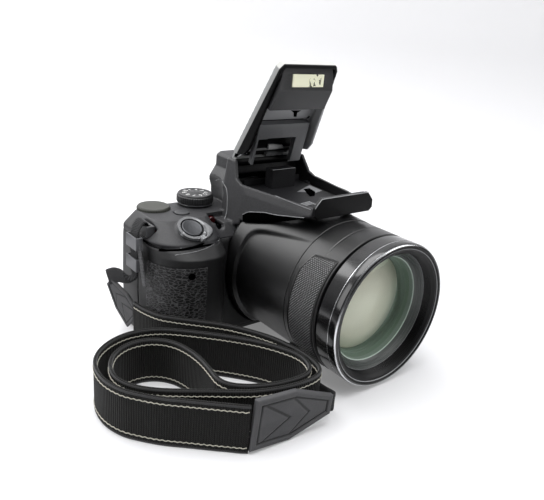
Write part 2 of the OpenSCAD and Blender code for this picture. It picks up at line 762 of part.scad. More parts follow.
module rear_lens_group() {
  color("#3c4048") on_lens() union() {
    translate([0, 0, -11]) cylinder(r = 15.9, h = 14);
    translate([0, 0, 3]) cylinder(r = 12, h = 3);
  }
}

module image_sensor() {
  color("#24483a") block([-13, split_y + 1, lens_z - 10], [13, split_y + 4, lens_z + 10]);
}

board_y = 17;
module main_board() {
  color("#1f5a34") union() {
    block([-34, board_y, 12], [42, board_y + 1.6, split_z - 4]);
    for (x = [-30, 38], z = [16, split_z - 8]) translate([x, board_y, z]) rotate([90, 0, 0])
      cylinder(r = 2, h = board_y - split_y - 1);
  }
}

battery_size = [10.5, 30, 46];
chamber_fit = 0.15;
module battery() {
  color("#3b3e44") translate([door_x0 + 2, door_y0 + 2, door_lift + door_t + 0.5]) cube(battery_size);
}
module memory_card() {
  color("#24344f") translate([door_x0 + 19, door_y0 + 4, door_lift + door_t + 0.5]) cube([2.1, 24, 32]);
}

module flash_well() {
  color("#4a4b4d") difference() {
    union() {
      translate([0, 0, tray_z]) linear_extrude(tray_t)
        polygon([[-21, tray_rear_y], [21, tray_rear_y], [18.4, tray_front_y], [-18.4, tray_front_y]]);
      block([-21, tray_rear_y - 1.4, tray_z], [21, tray_rear_y, edge_low - 0.2]);
      block([-8.6, -6, tray_z], [8.6, 1, tray_z + 12.4]);
      block([-16, tray_front_y, tray_z], [16, tray_front_y + 5, tray_z + 1.6]);
    }
    block([-2.5, tray_front_y - 1, tray_z + tray_t], [2.5, tray_front_y + 6, tray_z + 6]);
  }
}

module flash_pin() {
  color("#b5b8bb") translate([-hump_ear_w + 0.4, hinge_y, hinge_z]) rotate([0, 90, 0])
    cylinder(r = pin_r, h = 2 * hump_ear_w - 0.8);
}

// Swing a shape that is drawn closed up to the raised rest place
module raised() {
  translate([0, hinge_y, hinge_z]) rotate([-flash_open, 0, 0]) translate([0, -hinge_y, -hinge_z]) children();
}
// Frame of the lid: -Y runs along the lid from the hinge, +Z stands on it
module in_lid() {
  translate([0, hinge_y, hinge_z]) rotate([lid_tilt - flash_open, 0, 0]) children();
}
// Extrude a side outline given as [distance along the lid, height] over a half width
module lid_profile(points, half) {
  rotate([90, 0, 90]) translate([0, 0, -half]) linear_extrude(2 * half) polygon([for (p = points) [-p[0], p[1]]]);
}
function lid_half(u) = lid_hinge_w + (lid_tip_w - lid_hinge_w) * u / lid_len;
module lid_plan(inset) {
  polygon([[-lid_half(lid_neck) + inset, -lid_neck - inset], [lid_half(lid_neck) - inset, -lid_neck - inset],
           [lid_half(lid_len) - inset, -lid_len + 3 + inset], [lid_half(lid_len) - 2 - inset / 2, -lid_len + inset],
           [-lid_half(lid_len) + 2 + inset / 2, -lid_len + inset], [-lid_half(lid_len) + inset, -lid_len + 3 + inset]]);
}
module flash_lid() {
  color("#5a5b5d") difference() {
    union() {
      intersection() {
        in_lid() translate([0, 0, -20]) linear_extrude(20 + lid_top) lid_plan(0);
        raised() rotate([90, 0, 90]) translate([0, 0, -60]) linear_extrude(120)
          polygon(concat([[edge_high_y, through], [edge_front_y, through]],
                         [for (i = [0 : edge_steps])
                           let (y = edge_front_y + (edge_high_y - edge_front_y) * i / edge_steps)
                           [y, edge_z(y) + lid_gap]]));
      }
      in_lid() block([-knuckle_w, -lid_neck - 1, lid_under], [knuckle_w, 0, lid_top]);
      in_lid() translate([-knuckle_w, 0, 0]) rotate([0, 90, 0]) cylinder(r = knuckle_r, h = 2 * knuckle_w);
    }
    in_lid() translate([0, 0, -30]) linear_extrude(30 + lid_under) lid_plan(lid_skin);
    in_lid() translate([-knuckle_w - 1, 0, 0]) rotate([0, 90, 0])
      cylinder(r = pin_r + pin_fit, h = 2 * knuckle_w + 2);
  }
}

// Flash head: a wedge under the lid's tip whose face looks forward when raised
head_tip = [lid_len - 2.4, -1];
head_bend = head_tip - [10.4, 5.5];
head_low = head_tip - [25, 5.2];
face_slope = atan2(head_tip[1] - head_bend[1], head_tip[0] - head_bend[0]);
window_h = 6.8;
window_t = 1.4;
window_in = 2.8;
module on_face() {
  in_lid() translate([0, -head_tip[0], head_tip[1]]) rotate([-face_slope, 0, 0]) children();
}
module window_block(half, grow, depth) {
  on_face() block([-half, window_in - grow, -0.4], [half, window_in + window_h + grow, depth]);
}
module flash_head() {
  color("#2c2c2d") difference() {
    intersection() {
      in_lid() lid_profile([head_tip, head_bend, head_low, head_low + [-2, lid_under - head_low[1]],
                             [lid_len - 0.5, lid_under]], lid_hinge_w);
      in_lid() translate([0, 0, -20]) linear_extrude(20 + lid_under) lid_plan(lid_skin + 0.15);
    }
    window_block(window_w, 0, 1.2);
    window_block(window_w - 1.2, -0.8, 3);
  }
}
module flash_window() {
  color("#e9e8c8") window_block(window_w - 0.05, -0.05, 1.1);
}

// Bracket between the lid and the hinge, with a see-through opening
bracket_w = 18.6;
bracket_open = 10.5;
module flash_bracket() {
  color("#1e1e1f") difference() {
    in_lid() lid_profile([[28.5, -2.5], [4.4, -8.6], [4.4, -5.6], [25.4, lid_under], [28.5, lid_under]], bracket_w);
    in_lid() block([-bracket_open, -20, -20], [bracket_open, 0, lid_under - 1.2]);
  }
}

// Knurled dial with a number of small flutes
module dial(r, h, flutes, depth) {
  difference() {
    cylinder(r = r, h = h);
    for (i = [0 : flutes - 1]) rotate([0, 0, 360 * i / flutes]) translate([r + 0.1, 0, -1])
      cylinder(r = depth, h = h + 2, $fn = 4);
  }
}
module mode_dial() {
  color("#1b1b1b") translate([mode_x, mode_y, deck_z + gap]) union() {
    cylinder(r = mode_r - 0.6, h = 1.6);
    translate([0, 0, 1.6]) dial(mode_r, mode_h - 2.6, 48, 0.5);
    translate([0, 0, mode_h - 1]) cylinder(r = mode_r - 0.7, h = 1);
    translate([0, 0, -6]) cylinder(r = 2.5, h = 6.5);
  }
}
module command_dial() {
  color("#4a4a45") translate([command_x, command_y, deck_z + command_proud - command_h]) union() {
    dial(command_r, command_h - 0.6, 40, 0.5);
    translate([0, 0, command_h - 0.6]) cylinder(r = command_r - 0.6, h = 0.6);
    translate([0, 0, -4]) cylinder(r = 2, h = 4.5);
  }
}

module shutter_button() {
  color("#77787a") on_slope() union() {
    translate([0, 0, -4.4]) cylinder(r = shutter_r, h = 4.4 + pod_h + 1.6);
    translate([0, 0, -5.6]) cylinder(r = shutter_r + flange, h = flange_t);
  }
}

// Lever ring round the shutter button, with a finger tab to the front
lever_swing = 20;
module zoom_lever() {
  color("#5d5e60") on_slope() translate([0, 0, pod_h - 0.3]) difference() {
    union() {
      cylinder(r = shutter_r + lever_w, h = 1.7);
      rotate([0, 0, 17]) block([-1.6, -shutter_r - lever_w - 1.6, 0.6], [1.6, -shutter_r - lever_w + 0.6, 2.2]);
    }
    translate([0, 0, -1]) cylinder(r = shutter_r + ring_gap, h = 6);
  }
}

module power_button() {
  color("#3c3c3e") translate([power_x, power_y, deck_z]) union() {
    translate([0, 0, -wall - 0.8]) cylinder(r = power_r, h = wall + 1.4);
    translate([0, 0, -wall - gap - flange_t]) cylinder(r = power_r + flange, h = flange_t);
  }
}

// A button in the rear cover: a cap with a flange behind the wall
module rear_button(at, r) {
  translate([at[0], rear_y + button_proud, at[1]]) rotate([90, 0, 0]) union() {
    cylinder(r = r, h = button_proud + wall + gap + 0.5);
    translate([0, 0, button_proud + wall + gap]) cylinder(r = r + flange, h = flange_t);
  }
}
module movie_button() { color("#3a1c1c") rear_button(movie_at, button_r); }
module display_button() { color("#2f2f30") rear_button(display_at, button_r); }
module playback_button() { color("#2f2f30") rear_button(playback_at, button_r); }
module menu_button() { color("#2f2f30") rear_button(menu_at, button_r); }
module delete_button() { color("#2f2f30") rear_button(delete_at, button_r); }

module selector_dial() {
  color("#242424") translate([selector_x, rear_y + 1.2, selector_z]) rotate([90, 0, 0]) difference() {
    union() {
      dial(selector_r, 1.2 + wall + gap + 0.5, 36, 0.4);
      translate([0, 0, 1.2 + wall + gap]) cylinder(r = selector_r + flange, h = flange_t);
    }
    translate([0, 0, -1]) cylinder(r = ok_r + ring_gap, h = 20);
  }
}
module ok_button() {
  color("#303031") translate([selector_x, rear_y + 1.2, selector_z]) rotate([90, 0, 0]) union() {
    cylinder(r = ok_r, h = 1.2 + wall + 2 * gap + flange_t + 0.4);
    translate([0, 0, 1.2 + wall + 2 * gap + flange_t]) cylinder(r = ok_r + flange, h = flange_t);
  }
}

diopter_y = 24;
diopter_z = 95;
diopter_r = 3.6;
module diopter_knob() {
  color("#1a1a1a") translate([eye_top_w + gap, diopter_y, diopter_z]) rotate([0, 90, 0]) union() {
    dial(diopter_r, 2.2, 20, 0.35);
    translate([0, 0, -4]) cylinder(r = 1.5, h = 4.5);
  }
}

flash_button_y = 3;
flash_button_z = 80;
flash_button_x = 31.6;
module flash_button() {
  color("#2a2a2b") translate([flash_button_x - 4.4, flash_button_y, flash_button_z]) rotate([0, 90, 0]) union() {
    cylinder(r = button_r, h = 5.2);
    translate([0, 0, -1.2]) cylinder(r = button_r + flange, h = flange_t);
  }
}

module eyecup() {
  color("#161616") difference() {
    translate([0, rear_y + 4, eye_z]) rotate([90, 0, 0]) hull()
      for (x = [-1, 1], z = [-1, 1]) translate([x * 12, z * 6.4, 0]) cylinder(r = 3, h = 3.4, $fn = 24);
    block([-eye_w + 0.6, 0, eye_z - eye_h + 0.6], [eye_w - 0.6, through, eye_z + eye_h - 0.6]);
  }
}
module eyepiece_lens() {
  color([0.75, 0.8, 0.85, 0.6])
    block([-eye_w + 0.2, rear_y - wall, eye_z - eye_h + 0.2], [eye_w - 0.2, rear_y - 0.2, eye_z + eye_h - 0.2]);
}

module zoom_barrel() {
  color("#1f1f1f") lens_tube(tube1_r, tube1_in, 6, ring_y - 0.6);
}
module front_barrel() {
  color("#1b1b1b") lens_tube(tube2_r, tube2_in, 8, ring_y + 0.4);
}
module front_ring() {
  color("#101010") on_lens() rotate_extrude()
    polygon([[filter_r - ring_step, ring_y + 0.4], [barrel_r, ring_y + 0.4], [barrel_r, rim_y - 1.4],
             [barrel_r - 0.8, rim_y], [barrel_r - 2.2, rim_y], [barrel_r - 2.9, rim_y - 1],
             [filter_r + 1.6, rim_y - 1], [filter_r, rim_y - rim_face],
             [filter_r, rim_y - rim_face - filter_len], [filter_r - ring_step, rim_y - rim_face - filter_len]]);
}
module front_lens() {
  color([0.78, 0.84, 0.76, 0.45]) {
    on_lens() intersection() {
      translate([0, 0, glass_seat - glass_edge]) cylinder(r = glass_r, h = glass_edge + glass_sag + 1);
      translate([0, 0, glass_seat + glass_sag - glass_curve]) sphere(r = glass_curve);
    }
    on_lens() intersection() {
      translate([0, 0, glass_seat - 15]) cylinder(r = inner_glass_r, h = 7);
      translate([0, 0, glass_seat - 8.6 - 58]) sphere(r = 58);
    }
  }
}
module lens_cell() {
  color("#151515") on_lens() rotate_extrude()
    polygon([[cell_r, glass_seat - 17.6], [cell_r, ring_y + 0.2], [cell_front_r, ring_y + 0.2],
             [cell_front_r, glass_seat + 4], [cell_front_r - 1.1, glass_seat + 4],
             [cell_front_r - 1.1, glass_seat + 3], [cell_front_r - 2.1, glass_seat + 3],
             [glass_r + 0.6, glass_seat + 1.6], [glass_r - 0.6, glass_seat + 1.6], [glass_r - 0.6, glass_seat + 0.8],
             [glass_r + 0.05, glass_seat + 0.8], [glass_r + 0.05, glass_seat - glass_edge - 0.1],
             [inner_glass_r + 1, glass_seat - glass_edge - 0.1], [inner_glass_r + 0.05, glass_seat - 8],
             [inner_glass_r + 0.05, glass_seat - 15.2], [inner_glass_r - 1, glass_seat - 15.2],
             [inner_glass_r - 1, glass_seat - 17.6]]);
}

module monitor_arm() {
  color("#2a2a2a") union() {
    block([monitor_axis_x - arm_w, monitor_floor + 0.5, monitor_mid - arm_h / 2],
          [monitor_axis_x, rear_y - 0.2, monitor_mid + arm_h / 2]);
    translate([monitor_axis_x, monitor_axis_y, monitor_mid - arm_h / 2]) cylinder(r = monitor_knuckle_r, h = arm_h);
    translate([monitor_axis_x, monitor_axis_y, monitor_mid - arm_h / 2 - 3]) cylinder(r = pin_r, h = arm_h + 6);
    translate([monitor_x1 - 5, monitor_axis_y, monitor_mid]) rotate([0, 90, 0]) cylinder(r = tilt_pin_r, h = 6);
  }
}
bezel = 5;
glass_t = 0.6;
module monitor_panel() {
  color("#222222") difference() {
    block([monitor_x0, monitor_floor + 0.5, monitor_z0], [monitor_x1, rear_y, monitor_z0 + monitor_h]);
    block([monitor_x0 + bezel, rear_y - glass_t, monitor_z0 + bezel],
          [monitor_x1 - bezel - 2, rear_y + 1, monitor_z0 + monitor_h - bezel]);
    translate([monitor_x1 - 5.2, monitor_axis_y, monitor_mid]) rotate([0, 90, 0])
      cylinder(r = tilt_pin_r + pin_fit, h = 8);
  }
}
module monitor_glass() {
  color("#0c0d10") block([monitor_x0 + bezel + 0.1, rear_y - glass_t, monitor_z0 + bezel + 0.1],
                         [monitor_x1 - bezel - 2.1, rear_y + 0.1, monitor_z0 + monitor_h - bezel - 0.1]);
}

module battery_door() {
  color("#252525") difference() {
    union() {
      block([door_x0 + door_knuckle_r, door_y0, door_lift], [door_x1, door_y1, door_lift + door_t]);
      translate([door_x0 + door_knuckle_r + 0.1, door_y0, door_axis_z]) rotate([-90, 0, 0])
        cylinder(r = door_knuckle_r, h = door_y1 - door_y0);
    }
    block([door_x1 - 8.5, (door_y0 + door_y1) / 2 - 5, door_lift - 1],
          [door_x1 - 1.5, (door_y0 + door_y1) / 2 + 5, door_lift + 0.9]);
  }
}
module door_latch() {
  color("#3a3a3b") block([door_x1 - 4.6, (door_y0 + door_y1) / 2 - 4.7, door_lift],
                         [door_x1 - 1.8, (door_y0 + door_y1) / 2 + 4.7, door_lift + 0.75]);
}

module port_cover() {
  color("#262626") union() {
    block([far_reach - port_t - 0.2, port_y0, port_z0], [far_reach - 0.2, port_y1, port_z1]);
    translate([far_reach - 0.2 - port_t / 2, port_y1, port_z0]) cylinder(r = port_knuckle_r, h = port_z1 - port_z0);
  }
}

module side_zoom_lever() {
  color("#2b2b2c") union() {
    block([barrel_r + 0.5, side_lever_y - 6, lens_z - 5.5], [barrel_r + 3, side_lever_y + 6, lens_z + 5.5]);
    block([shroud_in + 0.5, side_lever_y - 1.9, lens_z - 2.5], [barrel_r + 1, side_lever_y + 1.9, lens_z + 2.5]);
  }
}
module snap_back_button() {
  color("#2b2b2c") translate([shroud_in + 0.9, snap_y, lens_z]) rotate([0, 90, 0])
    cylinder(r = snap_r, h = barrel_wall + 1.2);
}

// Strap eyelets: a slotted lug on each shoulder, the grip's in a notch of the top cover
module eyelet_notch() {
  block([-grip_reach - 11, eyelet_y - 7.2, grip_eyelet_z - 3.4], [-grip_reach + 7, eyelet_y + 7.2, grip_eyelet_z + 8]);
}
module eyelet(x, y, z) {
  translate([x, y, z]) difference() {
    block([-2.4, -7, -3], [2.4, 7, 3]);
    block([-0.9, -5.2, -10], [0.9, 5.2, 10]);
  }
}
module strap_eyelets() {
  color("#3a3a3a") {
    eyelet(-grip_reach + 3, eyelet_y, grip_eyelet_z);
    eyelet(far_reach + 2.2, far_eyelet_y, far_eyelet_z);
  }
}

module strap_webbing() {
  color("#161616") linear_extrude(strap_w) ribbon(strap_route, strap_t, route_steps);
}
// End tab: a pointed leather patch, drawn along +X from its wide end
module tab_outline() {
  polygon([[0, -strap_w / 2 - 0.5], [tab_len * 0.48, -strap_w / 2 - 0.5], [tab_len, -lead_w / 2 - 0.6],
           [tab_len, lead_w / 2 + 0.6], [tab_len * 0.48, strap_w / 2 + 0.5], [0, strap_w / 2 + 0.5]]);
}
module strap_tabs() {
  color("#3d3d3e") {
    translate([-89.6, -105.6, strap_w / 2 + 2]) rotate([0, 4, -3.5]) rotate([90, 0, 0])
      translate([0, 0, -tab_t / 2]) linear_extrude(tab_t) tab_outline();
    difference() {
      translate([-90.1, 6.8, strap_w / 2 + 0.5]) rotate([0, 0, 104]) rotate([0, -40, 0]) rotate([90, 0, 0])
        translate([0, 0, -tab_t / 2]) linear_extrude(tab_t) scale(0.62) tab_outline();
      block([-120, -50, -1], [-60, 6.5, 60]);
    }
  }
}
module grip_lead() { color("#1a1a1a") webbing(grip_lead_route, lead_w, lead_t, lead_steps); }
module far_lead() { color("#1a1a1a") webbing(far_lead_route, lead_w, lead_t, lead_steps); }

// Slider buckles on the narrow webbing
module slider(at, turn) {
  translate(at) rotate(turn) difference() {
    block([-2, -6.1, -3.6], [2, 6.1, 3.6]);
    block([-1, -5.2, -10], [1, 5.2, 10]);
  }
}
module strap_sliders() {
  color("#4b4b4c") {
    slider([-89.7, 6.9, 60.6], [0, 0, 0]);
    slider([-89.9, 6.5, 48.6], [0, 0, 0]);
    slider([59, 4.7, 33.5], [-14.6, 0, 0]);
  }
}

base_plate();
front_cover();
rear_cover();
top_cover();
grip_rubber();
chassis();
tripod_bush();
lens_shroud();
barrel_ring();
barrel_pads();
rear_lens_group();
image_sensor();
main_board();
battery();
memory_card();
flash_well();
brow_plate();
eyecup();
eyepiece_lens();
strap_eyelets();
focus_lamp();
base_screws();
flash_pin();
zoom_barrel();
front_barrel();
front_ring();
front_lens();
lens_cell();
flash_lid();
flash_head();
flash_window();
flash_bracket();
mode_dial();
command_dial();
shutter_button();
zoom_lever();
power_button();
movie_button();
display_button();
playback_button();
menu_button();
delete_button();
selector_dial();
ok_button();
diopter_knob();
monitor_arm();
monitor_panel();
monitor_glass();
battery_door();
door_latch();
port_cover();
side_zoom_lever();
snap_back_button();
flash_button();
strap_webbing();
strap_tabs();
grip_lead();
far_lead();
strap_sliders();
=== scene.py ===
"""Bridge camera with a raised flash and a coiled neck strap: the looks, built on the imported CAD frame."""

import json
import math

import bmesh
import bpy
import numpy as np
from mathutils import Matrix, Vector

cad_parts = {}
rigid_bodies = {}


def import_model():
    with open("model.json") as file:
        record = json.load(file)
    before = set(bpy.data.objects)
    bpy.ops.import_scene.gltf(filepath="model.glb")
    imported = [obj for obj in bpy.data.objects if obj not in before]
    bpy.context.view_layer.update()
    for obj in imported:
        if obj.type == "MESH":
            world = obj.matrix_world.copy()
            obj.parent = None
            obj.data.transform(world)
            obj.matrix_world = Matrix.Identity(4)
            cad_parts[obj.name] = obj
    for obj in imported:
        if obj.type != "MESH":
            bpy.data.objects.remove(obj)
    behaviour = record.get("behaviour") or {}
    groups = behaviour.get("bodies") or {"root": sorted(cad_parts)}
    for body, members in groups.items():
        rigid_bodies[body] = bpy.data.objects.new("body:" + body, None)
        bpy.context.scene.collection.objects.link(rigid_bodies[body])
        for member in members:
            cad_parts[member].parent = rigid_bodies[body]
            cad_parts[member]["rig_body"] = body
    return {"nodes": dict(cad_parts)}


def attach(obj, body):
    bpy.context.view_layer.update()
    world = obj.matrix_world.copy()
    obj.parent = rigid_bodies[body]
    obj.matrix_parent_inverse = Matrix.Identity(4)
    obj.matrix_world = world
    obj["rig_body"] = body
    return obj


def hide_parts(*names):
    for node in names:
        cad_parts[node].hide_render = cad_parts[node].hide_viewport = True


# Frame
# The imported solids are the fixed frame. Their box is kept, so that the dressed camera can be set against it.
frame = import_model()
scene = bpy.context.scene
scene.view_settings.view_transform = "Standard"
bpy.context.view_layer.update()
nodes = frame["nodes"]
MM = 0.001


# Camera
# The photographer stood to the grip's side and a little above. The place, tilt and focal length were solved
# from the lens rings and the body's corners, for an image of 544 by 500 pixels.
IMAGE_WIDTH = 544
FOCAL_PIXELS = 601.38
SENSOR = 36.0
EYE = Vector((-0.22409, -0.27081, 0.17822))
LOOK = Vector((0.59541, 0.71784, -0.36083)).normalized()
ROLL = 0.0861
across = LOOK.cross(Vector((0, 0, 1))).normalized()
upward = across.cross(LOOK)
right = math.cos(ROLL) * across + math.sin(ROLL) * upward
top = math.cos(ROLL) * upward - math.sin(ROLL) * across
camera = bpy.data.objects.new("camera", bpy.data.cameras.new("camera"))
scene.collection.objects.link(camera)
camera.data.sensor_width = SENSOR
camera.data.lens = FOCAL_PIXELS / IMAGE_WIDTH * SENSOR
camera.data.clip_start = 0.01
camera.matrix_world = Matrix((
    (right.x, top.x, -LOOK.x, EYE.x), (right.y, top.y, -LOOK.y, EYE.y), (right.z, top.z, -LOOK.z, EYE.z),
    (0, 0, 0, 1)
))
scene.camera = camera


# Studio
# A white light tent: a pale paper floor that runs up into a pale wall behind, lit from above and behind.
# Outside the tent the floor's colour is painted grey as painted shade, so that the black sides toward the
# photographer stay dark.
LIT_NEAR = -190
LIT_NEAR_HALF = 150
LIT_SPREAD = 0.5
LIT_EDGE = 220
WALL_TURN = math.radians(-39.7)
WALL_AT = 330
SWEEP = 160
FLOOR_HALF = 1400
WALL_HIGH = 900


def colour(code):
    """A linear colour from an sRGB hex code."""
    parts = [int(code[i:i + 2], 16) / 255 for i in (1, 3, 5)]
    return tuple(c / 12.92 if c <= 0.04045 else ((c + 0.055) / 1.055) ** 2.4 for c in parts) + (1.0,)


def add(tree, kind, links=None, **settings):
    """One shader node with its settings, and its inputs set to values or linked from sockets."""
    node = tree.nodes.new("ShaderNode" + kind)
    for name, value in settings.items():
        setattr(node, name, value)
    for name, value in (links or {}).items():
        if isinstance(value, bpy.types.NodeSocket):
            tree.links.new(value, node.inputs[name])
        else:
            node.inputs[name].default_value = value
    return node


def new_material(name):
    """An empty node material and its tree."""
    made = bpy.data.materials.new(name)
    made.use_nodes = True
    made.node_tree.nodes.clear()
    return made, made.node_tree


def mesh_object(name, vertices, faces, smooth=True):
    """A linked mesh object from points in millimetres."""
    mesh = bpy.data.meshes.new(name)
    points = np.asarray(vertices, float) * MM
    mesh.from_pydata(points.tolist(), [], [tuple(int(i) for i in f) for f in faces])
    mesh.polygons.foreach_set("use_smooth", [smooth] * len(mesh.polygons))
    mesh.update()
    made = bpy.data.objects.new(name, mesh)
    scene.collection.objects.link(made)
    return made


def paper(name, code, far_code, bright):
    """Matt white paper that the camera, gloss and glass see as bright as the tent. It lies in the tent's light
    round the object; outside that light, on the photographer's side, its colour is painted grey as painted
    shade. From its back it is clear, so that the object shows from behind the wall and from below the floor
    too."""
    made, tree = new_material(name)
    path = add(tree, "LightPath")
    seen = add(tree, "Math", {0: path.outputs["Is Camera Ray"], 1: path.outputs["Is Glossy Ray"]},
               operation="MAXIMUM")
    seen = add(tree, "Math", {0: seen.outputs[0], 1: path.outputs["Is Transmission Ray"]},
               operation="MAXIMUM")
    place = add(tree, "TexCoord")
    turned = add(tree, "Mapping", {"Vector": place.outputs["Object"], "Rotation": (0.0, 0.0, WALL_TURN)},
                 vector_type="TEXTURE")
    split = add(tree, "SeparateXYZ", {0: turned.outputs[0]})
    side = add(tree, "Math", {0: split.outputs[0]}, operation="ABSOLUTE")
    before = add(tree, "Math", {0: LIT_NEAR * MM, 1: split.outputs[1]}, operation="SUBTRACT")
    beside = add(tree, "Math", {0: before.outputs[0], 1: LIT_SPREAD, 2: side.outputs[0]},
                 operation="MULTIPLY_ADD")
    beside = add(tree, "Math", {0: beside.outputs[0], 1: LIT_NEAR_HALF * MM}, operation="SUBTRACT")
    outside = add(tree, "Math", {0: before.outputs[0], 1: beside.outputs[0]}, operation="MAXIMUM")
    # Painted shade: outside the tent's light the paper's colour turns to the grey far colour.
    fade = add(tree, "MapRange", {"Value": outside.outputs[0], "From Max": LIT_EDGE * MM, "To Min": 1.0,
                                  "To Max": 0.0},
               interpolation_type="SMOOTHSTEP")
    tone = add(tree, "Mix", {"Factor": fade.outputs[0], 6: colour(far_code), 7: colour(code)},
               data_type="RGBA")
    lift = add(tree, "Math", {0: seen.outputs[0], 1: bright}, operation="MULTIPLY")
    lift = add(tree, "Math", {0: lift.outputs[0], 1: fade.outputs[0]}, operation="MULTIPLY")
    shader = add(tree, "BsdfPrincipled", {"Base Color": tone.outputs[2], "Roughness": 0.9,
                                          "Emission Color": colour("#ffffff"),
                                          "Emission Strength": lift.outputs[0]})
    clear = add(tree, "BsdfTransparent")
    turned_from = add(tree, "NewGeometry")
    one_sided = add(tree, "MixShader", {0: turned_from.outputs["Backfacing"], 1: shader.outputs[0],
                                        2: clear.outputs[0]})
    add(tree, "OutputMaterial", {0: one_sided.outputs[0]})
    return made


sweep_rows = [(-FLOOR_HALF, 0), (WALL_AT - SWEEP, 0)]
sweep_rows += [(WALL_AT - SWEEP + SWEEP * math.sin(a), SWEEP - SWEEP * math.cos(a))
               for a in np.radians(np.arange(10, 91, 10))]
sweep_rows += [(WALL_AT, WALL_HIGH)]
floor_points = []
for side in (-1, 1):
    for away, height in sweep_rows:
        half = side * FLOOR_HALF
        floor_points.append((half * math.cos(WALL_TURN) - away * math.sin(WALL_TURN),
                             half * math.sin(WALL_TURN) + away * math.cos(WALL_TURN), height))
rows = len(sweep_rows)
floor_faces = [(i, rows + i, rows + i + 1, i + 1) for i in range(rows - 1)]
floor = mesh_object("paper_floor", floor_points, floor_faces)
# The second colour is the painted shade of the paper outside the tent.
floor.data.materials.append(paper("white_paper", "#cbcbcd", "#626264", 0.2))

BRIGHT_WAY = (0.42, 0.5, 0.76)
world = bpy.data.worlds.new("tent")
scene.world = world
world.use_nodes = True
sky = world.node_tree
sky.nodes.clear()
toward = add(sky, "TexCoord")
facing = add(sky, "VectorMath", {0: toward.outputs["Generated"], 1: BRIGHT_WAY}, operation="DOT_PRODUCT")
level = add(sky, "MapRange", {"Value": facing.outputs["Value"], "From Min": -0.1, "From Max": 0.9,
                              "To Min": 0.07, "To Max": 1.0})
glow = add(sky, "Background", {"Color": colour("#f2f3f5"), "Strength": level.outputs[0]})
add(sky, "OutputWorld", {0: glow.outputs[0]})


def soft_box(name, place, aim, width, height, watts):
    """A square area lamp that looks at a point, in metres."""
    lamp = bpy.data.lights.new(name, "AREA")
    lamp.shape = "RECTANGLE"
    lamp.size, lamp.size_y, lamp.energy = width, height, watts
    made = bpy.data.objects.new(name, lamp)
    scene.collection.objects.link(made)
    made.location = place
    made.rotation_euler = (Vector(aim) - Vector(place)).to_track_quat("-Z", "Y").to_euler()
    return made


soft_box("box_above", (-0.10, -0.05, 0.85), (-0.02, -0.04, 0.04), 0.9, 0.7, 9.0)
soft_box("box_left", (-0.85, 0.15, 0.45), (-0.04, -0.02, 0.05), 0.6, 0.6, 3.2)
soft_box("box_right", (0.62, -0.66, 0.40), (0.0, -0.06, 0.05), 0.5, 0.6, 2.5)
# This box stands low behind the hump and draws the sheen along the top of the barrel.
box_behind = soft_box("box_behind", (-0.17, 0.42, 0.40), (0.0, -0.05, 0.06), 0.4, 0.35, 2.0)
box_behind.visible_camera = False


# Wide webbing of the strap
# A 25 mm polyester webbing, woven with fine ribs across, with round grey selvedges and two pale wavy seams.
# It stands on its edge and runs in two loops from the grip to the front tab, which is sewn over its end.
STRAP_WIDTH = 25.0
STRAP_THICK = 1.7
STRAP_ROUTE = [
    (-90, 6), (-88.5, -3), (-85, -13), (-79, -20.5), (-70, -29.5), (-60, -40), (-52.5, -51), (-47, -62),
    (-44, -72), (-42.4, -81), (-42.4, -90), (-44.6, -97.6), (-50, -101.4), (-60, -102.2), (-71, -100.4),
    (-82, -96.6), (-91, -91.4), (-100, -85.6), (-110, -79.4), (-118.4, -73.4), (-124.8, -66.8),
    (-128.4, -59.4), (-128.8, -51.6), (-126, -43.4), (-120.4, -36.6), (-112, -32.8), (-103, -33.4),
    (-96, -37.6), (-91.4, -44.5), (-89.2, -53.5), (-88.8, -63), (-89.8, -72), (-90.8, -79.6), (-89.6, -84.8),
    (-85.4, -89.6), (-78, -94), (-68, -97.2), (-57, -98.2), (-49.8, -96), (-46, -90.4), (-45.4, -82.6),
    (-49, -73), (-55.2, -62.6), (-63.6, -52.6), (-73, -43), (-82.6, -34.2), (-90.6, -28), (-98.6, -24.6),
    (-108, -23.4), (-117.6, -25.8), (-125.6, -30.8), (-131, -37.6), (-133.8, -46), (-134, -56), (-131, -65.6),
    (-126, -72.8), (-119, -80.6), (-111, -87.6), (-103, -94.6), (-96, -100.6), (-92.8, -103.4), (-90.4, -105)
]


def smooth_route(points, step):
    """Points a step apart on a smooth curve through the given points."""
    p = np.asarray(points, float)
    p = np.vstack([2 * p[0] - p[1], p, 2 * p[-1] - p[-2]])
    fine = []
    for i in range(1, len(p) - 2):
        t = np.linspace(0, 1, 24, endpoint=False)[:, None]
        a, b, c, d = p[i - 1:i + 3]
        square = (2 * a - 5 * b + 4 * c - d) * t ** 2
        cube = (3 * b - a - 3 * c + d) * t ** 3
        fine.append(0.5 * (2 * b + (c - a) * t + square + cube))
    fine = np.vstack(fine + [p[-2:-1]])
    run = np.concatenate([[0], np.cumsum(np.linalg.norm(np.diff(fine, axis=0), axis=1))])
    places = np.linspace(0, run[-1], max(2, int(run[-1] / step) + 1))
    return np.stack([np.interp(places, run, fine[:, k]) for k in range(p.shape[1])], 1), places


def unit(v):
    """Rows of length one."""
    return v / np.linalg.norm(v, axis=-1, keepdims=True)


def set_uv(made, uv):
    """A UV map in millimetres from one pair of numbers for each vertex."""
    mesh = made.data
    layer = mesh.uv_layers.new(name="along_across")
    corner = np.zeros(len(mesh.loops), int)
    mesh.loops.foreach_get("vertex_index", corner)
    layer.data.foreach_set("uv", np.asarray(uv, np.float32)[corner].ravel())


